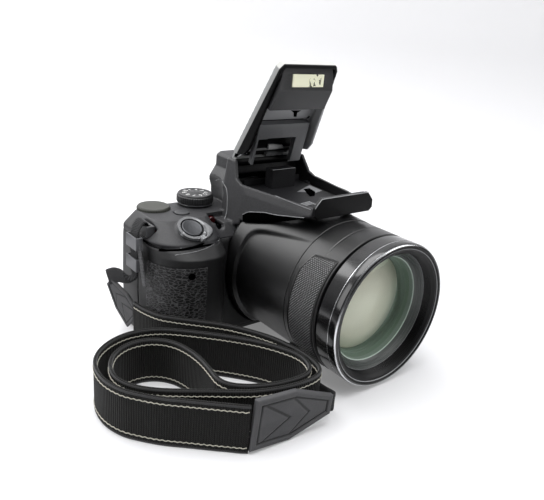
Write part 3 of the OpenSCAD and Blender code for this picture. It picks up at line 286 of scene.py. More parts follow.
def sweep(name, centre, sides, outs, width, thick, places, edge_round=0.45, columns=9):
    """A flat band along a centre line: sides give the width's direction and outs the face's."""
    across = np.linspace(-1, 1, columns)
    profile = [(a, 1) for a in across] + [(a, -1) for a in across[::-1]]
    rings, uv = [], []
    for a, face in profile:
        lift = thick / 2 * (1 - edge_round * max(0, abs(a) - 0.9) * 10)
        rings.append(centre + sides * (a * width / 2) + outs * (face * lift))
        uv.append(np.stack([places, np.full_like(places, a * width / 2 + (0 if face > 0 else 200))], 1))
    count, around = len(centre), len(profile)
    points = np.stack(rings, 1).reshape(-1, 3)
    uv = np.stack(uv, 1).reshape(-1, 2)
    faces = [(i * around + j, i * around + (j + 1) % around, (i + 1) * around + (j + 1) % around,
              (i + 1) * around + j)
             for i in range(count - 1) for j in range(around)]
    faces.append(tuple(range(around))[::-1])
    faces.append(tuple((count - 1) * around + j for j in range(around)))
    made = mesh_object(name, points, faces)
    set_uv(made, uv)
    return made


def woven(name, code, pale_code, rib_mm):
    """Polyester webbing: ribs across the band, warp threads along it, and a soft sheen from the filaments.
    The fuzz of the filaments is drawn about a millimetre wide, coarser than it is, so that it shows."""
    made, tree = new_material(name)
    uv = add(tree, "UVMap", uv_map="along_across")
    split = add(tree, "SeparateXYZ", {0: uv.outputs[0]})
    rib = add(tree, "Math", {0: split.outputs[0], 1: 2 * math.pi / rib_mm}, operation="MULTIPLY")
    rib = add(tree, "Math", {0: rib.outputs[0]}, operation="SINE")
    warp = add(tree, "Math", {0: split.outputs[1], 1: 2 * math.pi / (rib_mm * 0.9)}, operation="MULTIPLY")
    warp = add(tree, "Math", {0: warp.outputs[0]}, operation="SINE")
    cell = add(tree, "Math", {0: rib.outputs[0], 1: warp.outputs[0]}, operation="MULTIPLY")
    place = add(tree, "TexCoord")
    fuzz = add(tree, "TexNoise", {"Vector": place.outputs["Object"], "Scale": 0.9 / MM, "Detail": 4.0})
    height = add(tree, "Math", {0: cell.outputs[0], 1: 0.5, 2: rib.outputs[0]}, operation="MULTIPLY_ADD")
    height = add(tree, "Math", {0: fuzz.outputs[0], 1: 1.6, 2: height.outputs[0]}, operation="MULTIPLY_ADD")
    shade = add(tree, "MapRange", {"Value": height.outputs[0], "From Min": -1.0, "From Max": 2.6})
    mix = add(tree, "Mix", {"Factor": shade.outputs[0], 6: colour(code), 7: colour(pale_code)},
              data_type="RGBA")
    bump = add(tree, "Bump", {"Height": height.outputs[0], "Strength": 0.7, "Distance": 0.25 * MM})
    shader = add(tree, "BsdfPrincipled", {"Base Color": mix.outputs[2], "Roughness": 0.82,
                                          "Sheen Weight": 0.05, "Specular IOR Level": 0.2,
                                          "Normal": bump.outputs[0]})
    add(tree, "OutputMaterial", {0: shader.outputs[0]})
    return made


def tube(name, line, radius, sides=6):
    """A round thread along a line of points in millimetres."""
    line = np.asarray(line, float)
    run = unit(np.gradient(line, axis=0))
    aid = np.array([0.0, 0.0, 1.0]) if abs(run[:, 2]).mean() < 0.8 else np.array([1.0, 0.0, 0.0])
    first = unit(np.cross(run, aid))
    second = np.cross(run, first)
    angle = 2 * np.pi * np.arange(sides) / sides
    spokes = first[:, None] * np.cos(angle)[:, None] + second[:, None] * np.sin(angle)[:, None]
    ring = line[:, None] + radius * spokes
    n = len(line)
    faces = [(i * sides + j, i * sides + (j + 1) % sides, (i + 1) * sides + (j + 1) % sides,
              (i + 1) * sides + j)
             for i in range(n - 1) for j in range(sides)]
    faces.append(tuple(range(sides))[::-1])
    faces.append(tuple((n - 1) * sides + j for j in range(sides)))
    return mesh_object(name, ring.reshape(-1, 3), faces)


strap_line, strap_run = smooth_route(STRAP_ROUTE, 0.9)
strap_centre = np.column_stack([strap_line, np.full(len(strap_line), STRAP_WIDTH / 2)])
strap_ahead = unit(np.gradient(strap_centre, axis=0))
strap_up = np.tile([0.0, 0.0, 1.0], (len(strap_centre), 1))
strap_out = np.cross(strap_ahead, strap_up)
strap = sweep("strap_webbing_woven", strap_centre, strap_up, strap_out, STRAP_WIDTH, STRAP_THICK, strap_run,
              columns=17)
webbing = woven("black_polyester_webbing", "#060606", "#1b1b19", 1.15)
strap.data.materials.append(webbing)
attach(strap, "camera_body")
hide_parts("strap_webbing")


def thread_finish(name, code):
    """Spun cotton thread: pale, matt, with a slight twist."""
    made, tree = new_material(name)
    place = add(tree, "TexCoord")
    twist = add(tree, "TexNoise", {"Vector": place.outputs["Object"], "Scale": 1 / (0.4 * MM), "Detail": 2.0})
    tone = add(tree, "MapRange", {"Value": twist.outputs[0], "To Min": 0.72, "To Max": 1.0})
    mix = add(tree, "Mix", {"Factor": 1.0, 6: colour(code), 7: tone.outputs[0]}, data_type="RGBA",
              blend_type="MULTIPLY")
    shader = add(tree, "BsdfPrincipled", {"Base Color": mix.outputs[2], "Roughness": 0.85,
                                          "Sheen Weight": 0.2})
    add(tree, "OutputMaterial", {0: shader.outputs[0]})
    return made


SEAM_IN = 3.2
SEAM_WAVE = 0.2
SEAM_PITCH = 2.6
THREAD_R = 0.25
thread = thread_finish("pale_cotton_thread", "#bdbaac")
seam_run = np.arange(0.6, strap_run[-1] - 0.4, SEAM_PITCH / 8)
seam_centre = np.stack([np.interp(seam_run, strap_run, strap_centre[:, k]) for k in range(3)], 1)
seam_out = unit(np.stack([np.interp(seam_run, strap_run, strap_out[:, k]) for k in range(3)], 1))
for face in (1, -1):
    for edge in (1, -1):
        wave = SEAM_WAVE * np.sin(2 * np.pi * seam_run / SEAM_PITCH)
        line = seam_centre + seam_out * (face * (STRAP_THICK / 2 + 0.08))
        line[:, 2] += edge * (STRAP_WIDTH / 2 - SEAM_IN) + wave
        seam = tube(f"strap_seam_{'front' if face > 0 else 'back'}_{'upper' if edge > 0 else 'lower'}", line,
                    THREAD_R)
        seam.data.materials.append(thread)
        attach(seam, "camera_body")
SELVEDGE_R = 0.95
selvedge_yarn = thread_finish("grey_selvedge_yarn", "#2c2c2d")
for edge in (1, -1):
    line = strap_centre + np.array([0.0, 0.0, edge * (STRAP_WIDTH / 2 - SELVEDGE_R)])
    selvedge = tube(f"strap_selvedge_{'upper' if edge > 0 else 'lower'}", line, SELVEDGE_R, sides=8)
    selvedge.data.materials.append(selvedge_yarn)
    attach(selvedge, "camera_body")


# Leather end tabs
# Each end of the webbing is closed by a patch of dark grey leatherette, pressed hot with a raised hem and two
# layers of chevrons. It is glued and sewn round the webbing, with the narrow lead at its tip.
TAB_LENGTH = 44.0
TAB_HALF = 13.0
TAB_TIP = 5.1
TAB_TAPER = 21.1
TAB_THICK = 2.4
TAB_HEM = 2.9


def goes_with(made, node, finish):
    """A piece rides on a CAD node's body, with a finish."""
    made.data.materials.clear()
    made.data.materials.append(finish)
    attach(made, nodes[node]["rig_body"])
    return made


def take_place(made, node, finish):
    """A piece stands for a CAD node, on the node's body."""
    goes_with(made, node, finish)
    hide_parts(node)
    return made


def ramp(value, low, high):
    """A smooth step from 0 at low to 1 at high."""
    t = np.clip((value - low) / (high - low), 0, 1)
    return t * t * (3 - 2 * t)


def turn(axis, degrees):
    """A 4 by 4 rotation about a named axis."""
    return np.array(Matrix.Rotation(math.radians(degrees), 4, axis))


def move(x, y, z):
    """A 4 by 4 shift in millimetres."""
    return np.array(Matrix.Translation((x, y, z)))


def placed(points, place):
    """Points after a 4 by 4 placing."""
    return np.asarray(points, float) @ place[:3, :3].T + place[:3, 3]


def embossed(x, y):
    """Height of the pressed pattern on a tab from its edge inward, and how deep the pressed lines are."""
    half = np.interp(x, [0, TAB_TAPER, TAB_LENGTH], [TAB_HALF, TAB_HALF, TAB_TIP])
    edge = np.minimum(np.minimum(x, TAB_LENGTH - x), (half - np.abs(y)) * 0.92)
    hem_line = np.exp(-((edge - TAB_HEM - 0.2) / 0.4) ** 2)
    hem = 0.4 * ramp(edge, TAB_HEM, TAB_HEM - 0.6) - 0.5 * hem_line
    first = (18.4 - x) - np.abs(y) * 1.5
    second = (29.4 - x) - np.abs(y) * 1.05
    rear = 0.4 * np.clip(1 - first / 16, 0, 1) * (first > 0)
    front = 0.4 * np.clip(1 - second / 12, 0, 1) * (second > 0) * (first <= 0)
    lines = np.exp(-((first + 0.9) / 0.9) ** 2) + np.exp(-((second + 0.8) / 0.8) ** 2)
    panel = ramp(edge, TAB_HEM + 0.2, TAB_HEM + 1.2)
    crown = TAB_THICK / 2 * (1 - 0.6 * (1 - np.clip(edge / 1.0, 0, 1)) ** 2)
    return crown + hem + panel * (rear + front - 0.35 * lines), np.clip(hem_line + panel * lines, 0, 1)


def mark_points(made, values):
    """A number from 0 to 1 on each point of a mesh, for its material to read."""
    layer = made.data.attributes.new("marked", "FLOAT", "POINT")
    layer.data.foreach_set("value", np.asarray(values, np.float32))


def leather_tab(name, place):
    """A tab with the same pressed pattern on both faces, drawn along x from its wide end."""
    along = np.linspace(0, TAB_LENGTH, 132)
    across = np.linspace(-1, 1, 78)
    x = np.repeat(along, len(across))
    half = np.interp(x, [0, TAB_TAPER, TAB_LENGTH], [TAB_HALF, TAB_HALF, TAB_TIP])
    y = np.tile(across, len(along)) * half
    lift, pressed = embossed(x, y)
    lift = np.maximum(lift, 0.3)
    points = np.vstack([np.column_stack([x, y, lift]), np.column_stack([x, y, -lift])])
    n, m = len(along), len(across)
    at = np.arange(n * m).reshape(n, m)
    quads = np.stack([at[:-1, :-1], at[1:, :-1], at[1:, 1:], at[:-1, 1:]], -1).reshape(-1, 4)
    rim = np.concatenate([at[:, 0], at[-1, 1:], at[-2::-1, -1], at[0, -2:0:-1]])
    after = np.roll(rim, -1)
    wall = np.stack([rim, rim + n * m, after + n * m, after], -1)
    faces = np.vstack([quads, quads[:, ::-1] + n * m, wall])
    made = mesh_object(name, placed(points, place), faces)
    mark_points(made, np.concatenate([pressed, pressed]))
    return made


def leatherette(name, code, dark_code):
    """Pressed leatherette: pebbled grain of about a millimetre, dull, with a painted highlight on its ridges
    and painted shade in its hollows, and darker in the pressed lines."""
    made, tree = new_material(name)
    place = add(tree, "TexCoord")
    grain = add(tree, "TexVoronoi", {"Vector": place.outputs["Object"], "Scale": 1 / (0.9 * MM)},
                feature="SMOOTH_F1")
    soil = add(tree, "TexNoise", {"Vector": place.outputs["Object"], "Scale": 1 / (7 * MM), "Detail": 5.0})
    point = add(tree, "NewGeometry")
    # Painted highlight and shade: the colour is paler on ridges and darker in hollows.
    ridge = add(tree, "MapRange", {"Value": point.outputs["Pointiness"], "From Min": 0.44, "From Max": 0.56})
    tone = add(tree, "Math", {0: soil.outputs[0], 1: 0.5, 2: ridge.outputs[0]}, operation="MULTIPLY_ADD")
    tone = add(tree, "Math", {0: tone.outputs[0], 1: -0.1}, operation="ADD", use_clamp=True)
    line = add(tree, "Attribute", attribute_name="marked")
    tone = add(tree, "Math", {0: tone.outputs[0], 1: line.outputs["Fac"]}, operation="SUBTRACT",
               use_clamp=True)
    mix = add(tree, "Mix", {"Factor": tone.outputs[0], 6: colour(dark_code), 7: colour(code)},
              data_type="RGBA")
    bump = add(tree, "Bump", {"Height": grain.outputs[0], "Strength": 0.5, "Distance": 0.12 * MM})
    shader = add(tree, "BsdfPrincipled", {"Base Color": mix.outputs[2], "Roughness": 0.55,
                                          "Normal": bump.outputs[0]})
    add(tree, "OutputMaterial", {0: shader.outputs[0]})
    return made


tab_leather = leatherette("pressed_grey_leatherette", "#434345", "#08080a")
front_tab = leather_tab("strap_tab_front",
                        move(-89.6, -105.6, 14.5) @ turn("Z", -3.5) @ turn("Y", 4) @ turn("X", 90))
take_place(front_tab, "strap_tabs", tab_leather)
GRIP_TAB_SCALE = 0.62
smaller = np.diag([GRIP_TAB_SCALE] * 3 + [1.0])
grip_tab_place = move(-90.1, 6.8, 13) @ turn("Z", 104) @ turn("Y", -40) @ turn("X", 90) @ smaller
grip_tab = leather_tab("strap_tab_grip", grip_tab_place)
GRIP_TAB_CUT_Y = 6.6
cut_mesh = bmesh.new()
cut_mesh.from_mesh(grip_tab.data)
every = cut_mesh.verts[:] + cut_mesh.edges[:] + cut_mesh.faces[:]
bmesh.ops.bisect_plane(cut_mesh, geom=every, plane_co=(0, GRIP_TAB_CUT_Y * MM, 0), plane_no=(0, -1, 0),
                       clear_outer=True)
bmesh.ops.holes_fill(cut_mesh, edges=cut_mesh.edges[:])
cut_mesh.to_mesh(grip_tab.data)
cut_mesh.free()
goes_with(grip_tab, "strap_tabs", tab_leather)


# Narrow leads
# From each tab a 9 mm polyester webbing runs to an eyelet on the body, goes through it from outside and back
# through a slider. The far lead lies on the floor behind the lens before it climbs to its eyelet.
LEAD_WIDTH = 9.0
LEAD_THICK = 0.9
GRIP_LEAD_ROUTE = [
    (-83, 8, 64.2, 0, 1, 0), (-83, 8, 69.4, 0, 1, 0), (-84.8, 8, 71.4, 0, 1, 0), (-87, 8, 69.4, 0, 1, 0),
    (-89, 7.4, 66, 0, 1, 0), (-89.7, 6.9, 61, 0, 1, 0), (-89.9, 6.4, 53, 0, 1, 0), (-90, 6.4, 46, 0, 1, 0),
    (-90.4, 7.6, 41, 0, 1, -0.35), (-92.2, 13, 38, 0, 0.65, -0.76), (-94.2, 20.2, 36.6, 0, 0.4, -0.92),
    (-95.4, 25.4, 34, -0.1, 0.55, -0.83), (-95.9, 27.6, 32.6, -0.16, 0.62, -0.77)
]
FAR_LEAD_ROUTE = [
    (-46.2, -108.3, 11.4, 0, 0, 1), (-43.2, -107.8, 10.8, 0, 0, 1), (-40.6, -104.6, 9.4, 0, 0, 1),
    (-39, -97, 7.4, 0, 0, 1), (-37, -84, 5.6, 0, 0, 1), (-33.6, -72, 5.4, 0, 0.1, 1),
    (-29, -62, 5, -0.5, 0.3, 0.8), (-22, -53, 2.9, -0.7, 0.7, 0.5), (-13, -46.4, 1.1, -0.5, 0.86, 0.1),
    (0, -40, 0.6, -0.35, 0.94, 0), (20, -34, 0.6, -0.32, 0.95, 0), (38, -27, 0.7, -0.47, 0.88, 0),
    (51.6, -19.6, 1.8, -0.7, 0.72, 0), (58.2, -10.4, 5.6, -0.5, 0.8, 0), (58.8, -2, 14, -0.2, 0.95, -0.3),
    (59, 3, 27, 0, 0.95, -0.3), (59, 6.4, 40, 0, 1, -0.2), (59.4, 7.8, 50, 0, 1, 0), (59.2, 8, 56.4, 0, 1, 0),
    (57.4, 8, 58.6, 0, 1, 0), (55.7, 8, 56.4, 0, 1, 0), (55.7, 8, 51.2, 0, 1, 0)
]
lead_webbing = woven("black_narrow_webbing", "#0d0d0e", "#353537", 0.8)


def flat_lead(node, route):
    """A narrow webbing along its route, and its centre line."""
    line, run = smooth_route(route, 0.7)
    centre = line[:, :3]
    ahead = unit(np.gradient(centre, axis=0))
    outs = unit(np.cross(ahead, unit(line[:, 3:])))
    sides = np.cross(outs, ahead)
    made = sweep(node + "_woven", centre, sides, outs, LEAD_WIDTH, LEAD_THICK, run)
    take_place(made, node, lead_webbing)
    return made, centre, run[-1]


grip_lead, grip_line, grip_length = flat_lead("grip_lead", GRIP_LEAD_ROUTE)
far_lead, far_line, far_length = flat_lead("far_lead", FAR_LEAD_ROUTE)
TAIL_WIDTH = 4.0
TAIL_ROUTE = [(-89.8, 1.6, 59.4), (-89.8, -0.6, 54), (-89.9, -3.2, 46.5), (-89.9, -6, 38.9)]
tail_line, tail_run = smooth_route(TAIL_ROUTE, 0.7)
tail_ahead = unit(np.gradient(tail_line, axis=0))
tail_out = unit(np.cross(tail_ahead, np.tile([0.0, 0.95, 0.3], (len(tail_line), 1))))
grip_tail = sweep("grip_lead_tail", tail_line, np.cross(tail_out, tail_ahead), tail_out, TAIL_WIDTH,
                  LEAD_THICK, tail_run)
goes_with(grip_tail, "grip_lead", woven("grey_lead_tail", "#2a2a2c", "#6c6c6e", 0.8))


# Sliders and eyelets
# The sliders are injection-moulded grey acetal with a slot for the lead, and the eyelets are slotted lugs of
# blackened steel that are screwed to the frame under the covers.
WELD_GAP = 2e-6


def shaped_copy(node, edge_mm, sharp_degrees=30, segments=2):
    """A copy of a CAD node with its triangles joined to flat faces and its edges rounded."""
    made = bpy.data.objects.new(node + "_shaped", nodes[node].data.copy())
    scene.collection.objects.link(made)
    work = bmesh.new()
    work.from_mesh(made.data)
    bmesh.ops.remove_doubles(work, verts=work.verts[:], dist=WELD_GAP)
    bmesh.ops.dissolve_limit(work, angle_limit=math.radians(1), verts=work.verts[:], edges=work.edges[:])
    limit = math.radians(sharp_degrees)
    edges = [e for e in work.edges if len(e.link_faces) == 2 and e.calc_face_angle(0) > limit]
    bmesh.ops.bevel(work, geom=edges, offset=edge_mm * MM, segments=segments, profile=0.6, affect="EDGES",
                    clamp_overlap=True)
    for face in work.faces:
        face.smooth = True
    work.to_mesh(made.data)
    work.free()
    made.data.set_sharp_from_angle(angle=math.radians(50))
    made.modifiers.new("even_shading", "WEIGHTED_NORMAL").keep_sharp = True
    return made


def moulded_plastic(name, code, grain_mm, depth_mm, rough, pale_code=None, shine=0.5):
    """Spark-eroded ABS: a fine matt grain with paler specks, and a painted highlight on its sharp outer edges.
    """
    made, tree = new_material(name)
    place = add(tree, "TexCoord")
    grain = add(tree, "TexNoise", {"Vector": place.outputs["Object"], "Scale": 1 / (grain_mm * MM),
                                   "Detail": 3.0})
    cloud = add(tree, "TexNoise", {"Vector": place.outputs["Object"], "Scale": 1 / (18 * MM), "Detail": 4.0})
    gloss = add(tree, "MapRange", {"Value": cloud.outputs[0], "To Min": rough - 0.08, "To Max": rough + 0.08})
    point = add(tree, "NewGeometry")
    # Painted highlight: sharp outer edges are mixed toward the pale colour.
    edge = add(tree, "MapRange", {"Value": point.outputs["Pointiness"], "From Min": 0.52, "From Max": 0.62})
    speck = add(tree, "MapRange", {"Value": grain.outputs[0], "From Min": 0.3, "From Max": 0.7,
                                   "To Max": 0.35})
    edge_highlight_and_speck = add(tree, "Math", {0: edge.outputs[0], 1: speck.outputs[0]}, operation="MAXIMUM")
    mix = add(tree, "Mix", {"Factor": edge_highlight_and_speck.outputs[0], 6: colour(code), 7: colour(pale_code or code)},
              data_type="RGBA")
    bump = add(tree, "Bump", {"Height": grain.outputs[0], "Strength": 0.6, "Distance": depth_mm * MM})
    shader = add(tree, "BsdfPrincipled", {"Specular IOR Level": shine, "Base Color": mix.outputs[2],
                                          "Roughness": gloss.outputs[0], "Normal": bump.outputs[0]})
    add(tree, "OutputMaterial", {0: shader.outputs[0]})
    return made


slider_plastic = moulded_plastic("grey_acetal", "#1f2022", 0.5, 0.03, 0.5, "#626366", shine=0.35)
sliders = take_place(shaped_copy("strap_sliders", 0.6, segments=3), "strap_sliders", slider_plastic)
blackened_steel = moulded_plastic("blackened_steel", "#0c0c0d", 0.3, 0.02, 0.38, "#3a3a3c")
take_place(shaped_copy("strap_eyelets", 0.5, segments=3), "strap_eyelets", blackened_steel)


# Frame inside the body
# A die-cast aluminium chassis carries the lens tube, the sensor, the board and the battery chamber. The
# covers are screwed to it, and a turned steel bush takes the tripod screw.


def bare_metal(name, code, rough, streak_mm):
    """Bare worked metal: fine directional tool marks that scatter the light."""
    made, tree = new_material(name)
    place = add(tree, "TexCoord")
    lines = add(tree, "Mapping", {"Vector": place.outputs["Object"],
                                  "Scale": (1 / (streak_mm * MM), 0.06 / MM, 0.06 / MM)})
    marks = add(tree, "TexNoise", {"Vector": lines.outputs[0], "Scale": 1.0, "Detail": 3.0})
    gloss = add(tree, "MapRange", {"Value": marks.outputs[0], "To Min": rough - 0.1, "To Max": rough + 0.1})
    bump = add(tree, "Bump", {"Height": marks.outputs[0], "Strength": 0.25, "Distance": 0.02 * MM})
    shader = add(tree, "BsdfPrincipled", {"Base Color": colour(code), "Metallic": 1.0,
                                          "Roughness": gloss.outputs[0], "Normal": bump.outputs[0]})
    add(tree, "OutputMaterial", {0: shader.outputs[0]})
    return made


cast_aluminium = bare_metal("cast_aluminium", "#a9abad", 0.5, 1.2)
turned_steel = bare_metal("turned_steel", "#b9bcc0", 0.3, 0.3)
take_place(shaped_copy("chassis", 0.3), "chassis", cast_aluminium)
take_place(shaped_copy("tripod_bush", 0.3), "tripod_bush", turned_steel)
take_place(shaped_copy("flash_pin", 0.2), "flash_pin", turned_steel)
take_place(shaped_copy("rear_lens_group", 0.4), "rear_lens_group", cast_aluminium)
take_place(shaped_copy("base_screws", 0.15), "base_screws", blackened_steel)


# Electronics and what the battery door covers
# A green glass-fibre board, the filtered sensor, a lithium cell in a grey case and a memory card, all hidden
# while the covers are on.


def board_lacquer(name, code, trace_code, pitch_mm):
    """Solder lacquer over copper: a grid of raised, paler tracks."""
    made, tree = new_material(name)
    place = add(tree, "TexCoord")
    tracks = add(tree, "TexBrick", {"Vector": place.outputs["Object"], "Scale": 1 / (pitch_mm * MM),
                                    "Color1": colour(code), "Color2": colour(code),
                                    "Mortar": colour(trace_code), "Mortar Size": 0.06})
    bump = add(tree, "Bump", {"Height": tracks.outputs["Fac"], "Strength": 0.4, "Distance": 0.04 * MM})
    shader = add(tree, "BsdfPrincipled", {"Base Color": tracks.outputs[0], "Roughness": 0.35,
                                          "Normal": bump.outputs[0]})
    add(tree, "OutputMaterial", {0: shader.outputs[0]})
    return made


take_place(shaped_copy("main_board", 0.2), "main_board",
           board_lacquer("green_solder_lacquer", "#0f4a26", "#2f7a45", 3))
take_place(shaped_copy("image_sensor", 0.3), "image_sensor",
           board_lacquer("sensor_filter", "#16362c", "#1d4a3c", 1))
take_place(shaped_copy("battery", 0.8, segments=3), "battery",
           moulded_plastic("grey_cell_case", "#3b3e44", 0.6, 0.03, 0.5))
take_place(shaped_copy("memory_card", 0.3), "memory_card",
           moulded_plastic("blue_card_plastic", "#24344f", 0.5, 0.03, 0.5))


# Base plate, front cover and rear cover
# The covers are thin shells of black polycarbonate with a fine spark-eroded grain. They meet at narrow joints;
# along the one on the shoulder of the grip a black cord is painted shadow for the crease, and their sharp
# edges carry a painted pale highlight.
COVER_VOXEL = 0.5
EDGE_STEP = 0.8


def moulded_copy(node, voxel_mm, rounds, keep):
    """A copy of a CAD node with its edges and facets eased as a mould leaves them."""
    made = bpy.data.objects.new(node + "_moulded", nodes[node].data.copy())
    scene.collection.objects.link(made)
    made.data.materials.clear()
    made.modifiers.new("weld", "WELD").merge_threshold = WELD_GAP
    grid = made.modifiers.new("grid", "REMESH")
    grid.mode = "VOXEL"
    grid.voxel_size = voxel_mm * MM
    ease = made.modifiers.new("ease", "SMOOTH")
    ease.factor = 0.5
    ease.iterations = rounds
    made.modifiers.new("thin", "DECIMATE").ratio = keep
    shown = made.evaluated_get(bpy.context.evaluated_depsgraph_get())
    mesh = bpy.data.meshes.new_from_object(shown)
    made.modifiers.clear()
    made.data = mesh
    mesh.polygons.foreach_set("use_smooth", [True] * len(mesh.polygons))
    return made


black_cover = moulded_plastic("black_polycarbonate", "#0c0c0d", 0.5, 0.05, 0.5, "#242426", shine=0.35)
take_place(moulded_copy("base_plate", COVER_VOXEL, 4, 0.4), "base_plate", black_cover)
take_place(moulded_copy("front_cover", COVER_VOXEL, 10, 0.4), "front_cover", black_cover)
take_place(moulded_copy("rear_cover", COVER_VOXEL, 4, 0.4), "rear_cover", black_cover)
JOINT_LINE = [(-83.1, -8.5, 59.9), (-80, -11.4, 60), (-75.2, -13.7, 60.1), (-69.7, -14.7, 60.3),
              (-63.1, -14.2, 60.6), (-57.8, -12.8, 61.3)]
EAR_LINE = [(-77.5, -15.7, 58.5), (-71.3, -17.6, 59.1), (-63.9, -17.8, 59.4), (-55.7, -15.9, 59.9),
            (-47.2, -10.8, 60.1)]
# A zero-shine black for black parts, and also for painted shade: the cord in the grip's joint, the strip under
# the hump and the slots in the lid.
black_and_painted_shade = moulded_plastic("black_plastic_and_painted_shade", "#020202", 0.4, 0.02, 0.9, shine=0.0)
# Pale tubes along edges are painted highlights.
painted_edge_highlight = moulded_plastic("pale_painted_edge_highlight", "#4c4d4f", 0.4, 0.02, 0.4, "#8c8d8f")
# Painted shadow: a black cord along the joint on the grip's shoulder stands in for the shade in the crease.
goes_with(tube("cover_joint_painted_shadow", smooth_route(JOINT_LINE, EDGE_STEP)[0], 0.75, sides=10), "front_cover",
          black_and_painted_shade)
# Painted highlight along the rim of the front cover's ear.
goes_with(tube("front_cover_ear_edge", smooth_route(EAR_LINE, EDGE_STEP)[0], 0.24, sides=8), "front_cover",
          painted_edge_highlight)


# Grip rubber
# A thin skin of black rubber, pressed with a leather grain and glued round the grip, with a small window for
# the remote receiver.


def grained_rubber(name, code, pale_code, grain_mm):
    """Rubber pressed with a leather grain: smooth cells between fine raised wrinkles, which carry a painted
    highlight in patches.
    """
    made, tree = new_material(name)
    place = add(tree, "TexCoord")
    bend = add(tree, "TexNoise", {"Vector": place.outputs["Object"], "Scale": 1 / (4 * MM), "Detail": 2.0})
    shift = add(tree, "VectorMath", {0: bend.outputs[1], 1: (1.2 * MM,) * 3, 2: place.outputs["Object"]},
                operation="MULTIPLY_ADD")
    drawn = add(tree, "Mapping", {"Vector": shift.outputs[0], "Scale": (0.6, 0.6, 1.25)})
    cells = add(tree, "TexVoronoi", {"Vector": drawn.outputs[0], "Scale": 1 / (grain_mm * MM)},
                feature="DISTANCE_TO_EDGE")
    wrinkle = add(tree, "MapRange", {"Value": cells.outputs[0], "From Max": 0.13, "To Min": 1.0,
                                     "To Max": 0.0},
                  interpolation_type="SMOOTHSTEP")
    fine = add(tree, "TexNoise", {"Vector": place.outputs["Object"], "Scale": 1 / (0.4 * MM), "Detail": 2.0})
    height = add(tree, "Math", {0: fine.outputs[0], 1: 0.4, 2: wrinkle.outputs[0]}, operation="MULTIPLY_ADD")
    # Painted highlight: the raised wrinkles are mixed toward the pale colour, in patches.
    painted_crest_highlight = add(tree, "Math", {0: wrinkle.outputs[0], 1: fine.outputs[0]}, operation="MULTIPLY")
    mix = add(tree, "Mix", {"Factor": painted_crest_highlight.outputs[0], 6: colour(code), 7: colour(pale_code)},
              data_type="RGBA")
    bump = add(tree, "Bump", {"Height": height.outputs[0], "Strength": 1.0, "Distance": 0.4 * MM})
    shader = add(tree, "BsdfPrincipled", {"Base Color": mix.outputs[2], "Roughness": 0.5,
                                          "Normal": bump.outputs[0], "Specular IOR Level": 0.35})
    add(tree, "OutputMaterial", {0: shader.outputs[0]})
    return made


LENS_STEPS = 192


def lathe(name, profile, place, steps=LENS_STEPS, closed=True, flutes=None):
    """A turned piece from points of radius and height. Flutes give a count, a depth and a band of heights."""
    profile = np.asarray(profile, float)
    a = 2 * np.pi * np.arange(steps) / steps
    radius = np.repeat(profile[:, :1], steps, 1)
    height = np.repeat(profile[:, 1:], steps, 1)
    if flutes:
        count, depth, low, high = flutes
        cut = depth * np.abs(np.sin(count * a / 2)) ** 0.6
        within = (height >= low) & (height <= high) & (radius > profile[:, 0].max() - depth)
        radius = np.where(within, radius - depth + cut, radius)
    points = np.stack([radius * np.cos(a), radius * np.sin(a), height], -1).reshape(-1, 3)
    n = len(profile)
    faces = []
    for i in range(n if closed else n - 1):
        j = (i + 1) % n
        faces += [(i * steps + k, i * steps + (k + 1) % steps, j * steps + (k + 1) % steps, j * steps + k)
                  for k in range(steps)]
    made = mesh_object(name, placed(points, place), faces)
    work = bmesh.new()
    work.from_mesh(made.data)
    bmesh.ops.remove_doubles(work, verts=work.verts[:], dist=1e-6)
    bmesh.ops.recalc_face_normals(work, faces=work.faces[:])
    work.to_mesh(made.data)
    work.free()
    made.data.set_sharp_from_angle(angle=math.radians(38))
    return made


grip_skin = grained_rubber("leather_grained_rubber", "#060607", "#6e6e70", 1.6)
take_place(moulded_copy("grip_rubber", 0.26, 6, 0.3), "grip_rubber", grip_skin)
receiver = lathe("remote_receiver", [(0.0, -0.3), (1.85, -0.3), (1.85, 0.3), (0.0, 0.35)],
                 move(-71.0, -22.6, 47.4) @ turn("Z", -18) @ turn("X", 90), steps=40)
goes_with(receiver, "front_cover", black_and_painted_shade)


# Top cover
# One moulding holds the decks, the shutter slope and the hump with the open flash well. Its plastic is painted
# paler than the other covers', as painted light from above, and its sharp edges carry a painted highlight.
# Along the foot of the hump a black strip is painted shadow, below a pale line that is a painted highlight.
# Painted light: the same black plastic as the other covers, with paler colours for the light from above.
top_finish_painted_lit = moulded_plastic("black_polycarbonate_painted_lit", "#1e1e20", 0.5, 0.05, 0.5, "#505052", shine=0.35)
take_place(moulded_copy("top_cover", COVER_VOXEL, 8, 0.45), "top_cover", top_finish_painted_lit)
SCOOP_LINE = [(-25.6, 27.4, 82.7), (-25.9, 23, 84.5), (-27.6, 18, 85.4), (-29.1, 14.5, 85),
              (-30.2, 9.4, 82.8), (-31, 6.8, 79.3), (-31.8, 5.2, 75.6), (-32.8, 3.8, 71.1), (-35.2, 2, 67),
              (-39.9, -2.6, 64.8)]
SLOPE_LINE = [(-73.3, -13.4, 60.8), (-66.3, -13.3, 61.3), (-60, -13.2, 62.1), (-53.5, -11, 63.4)]
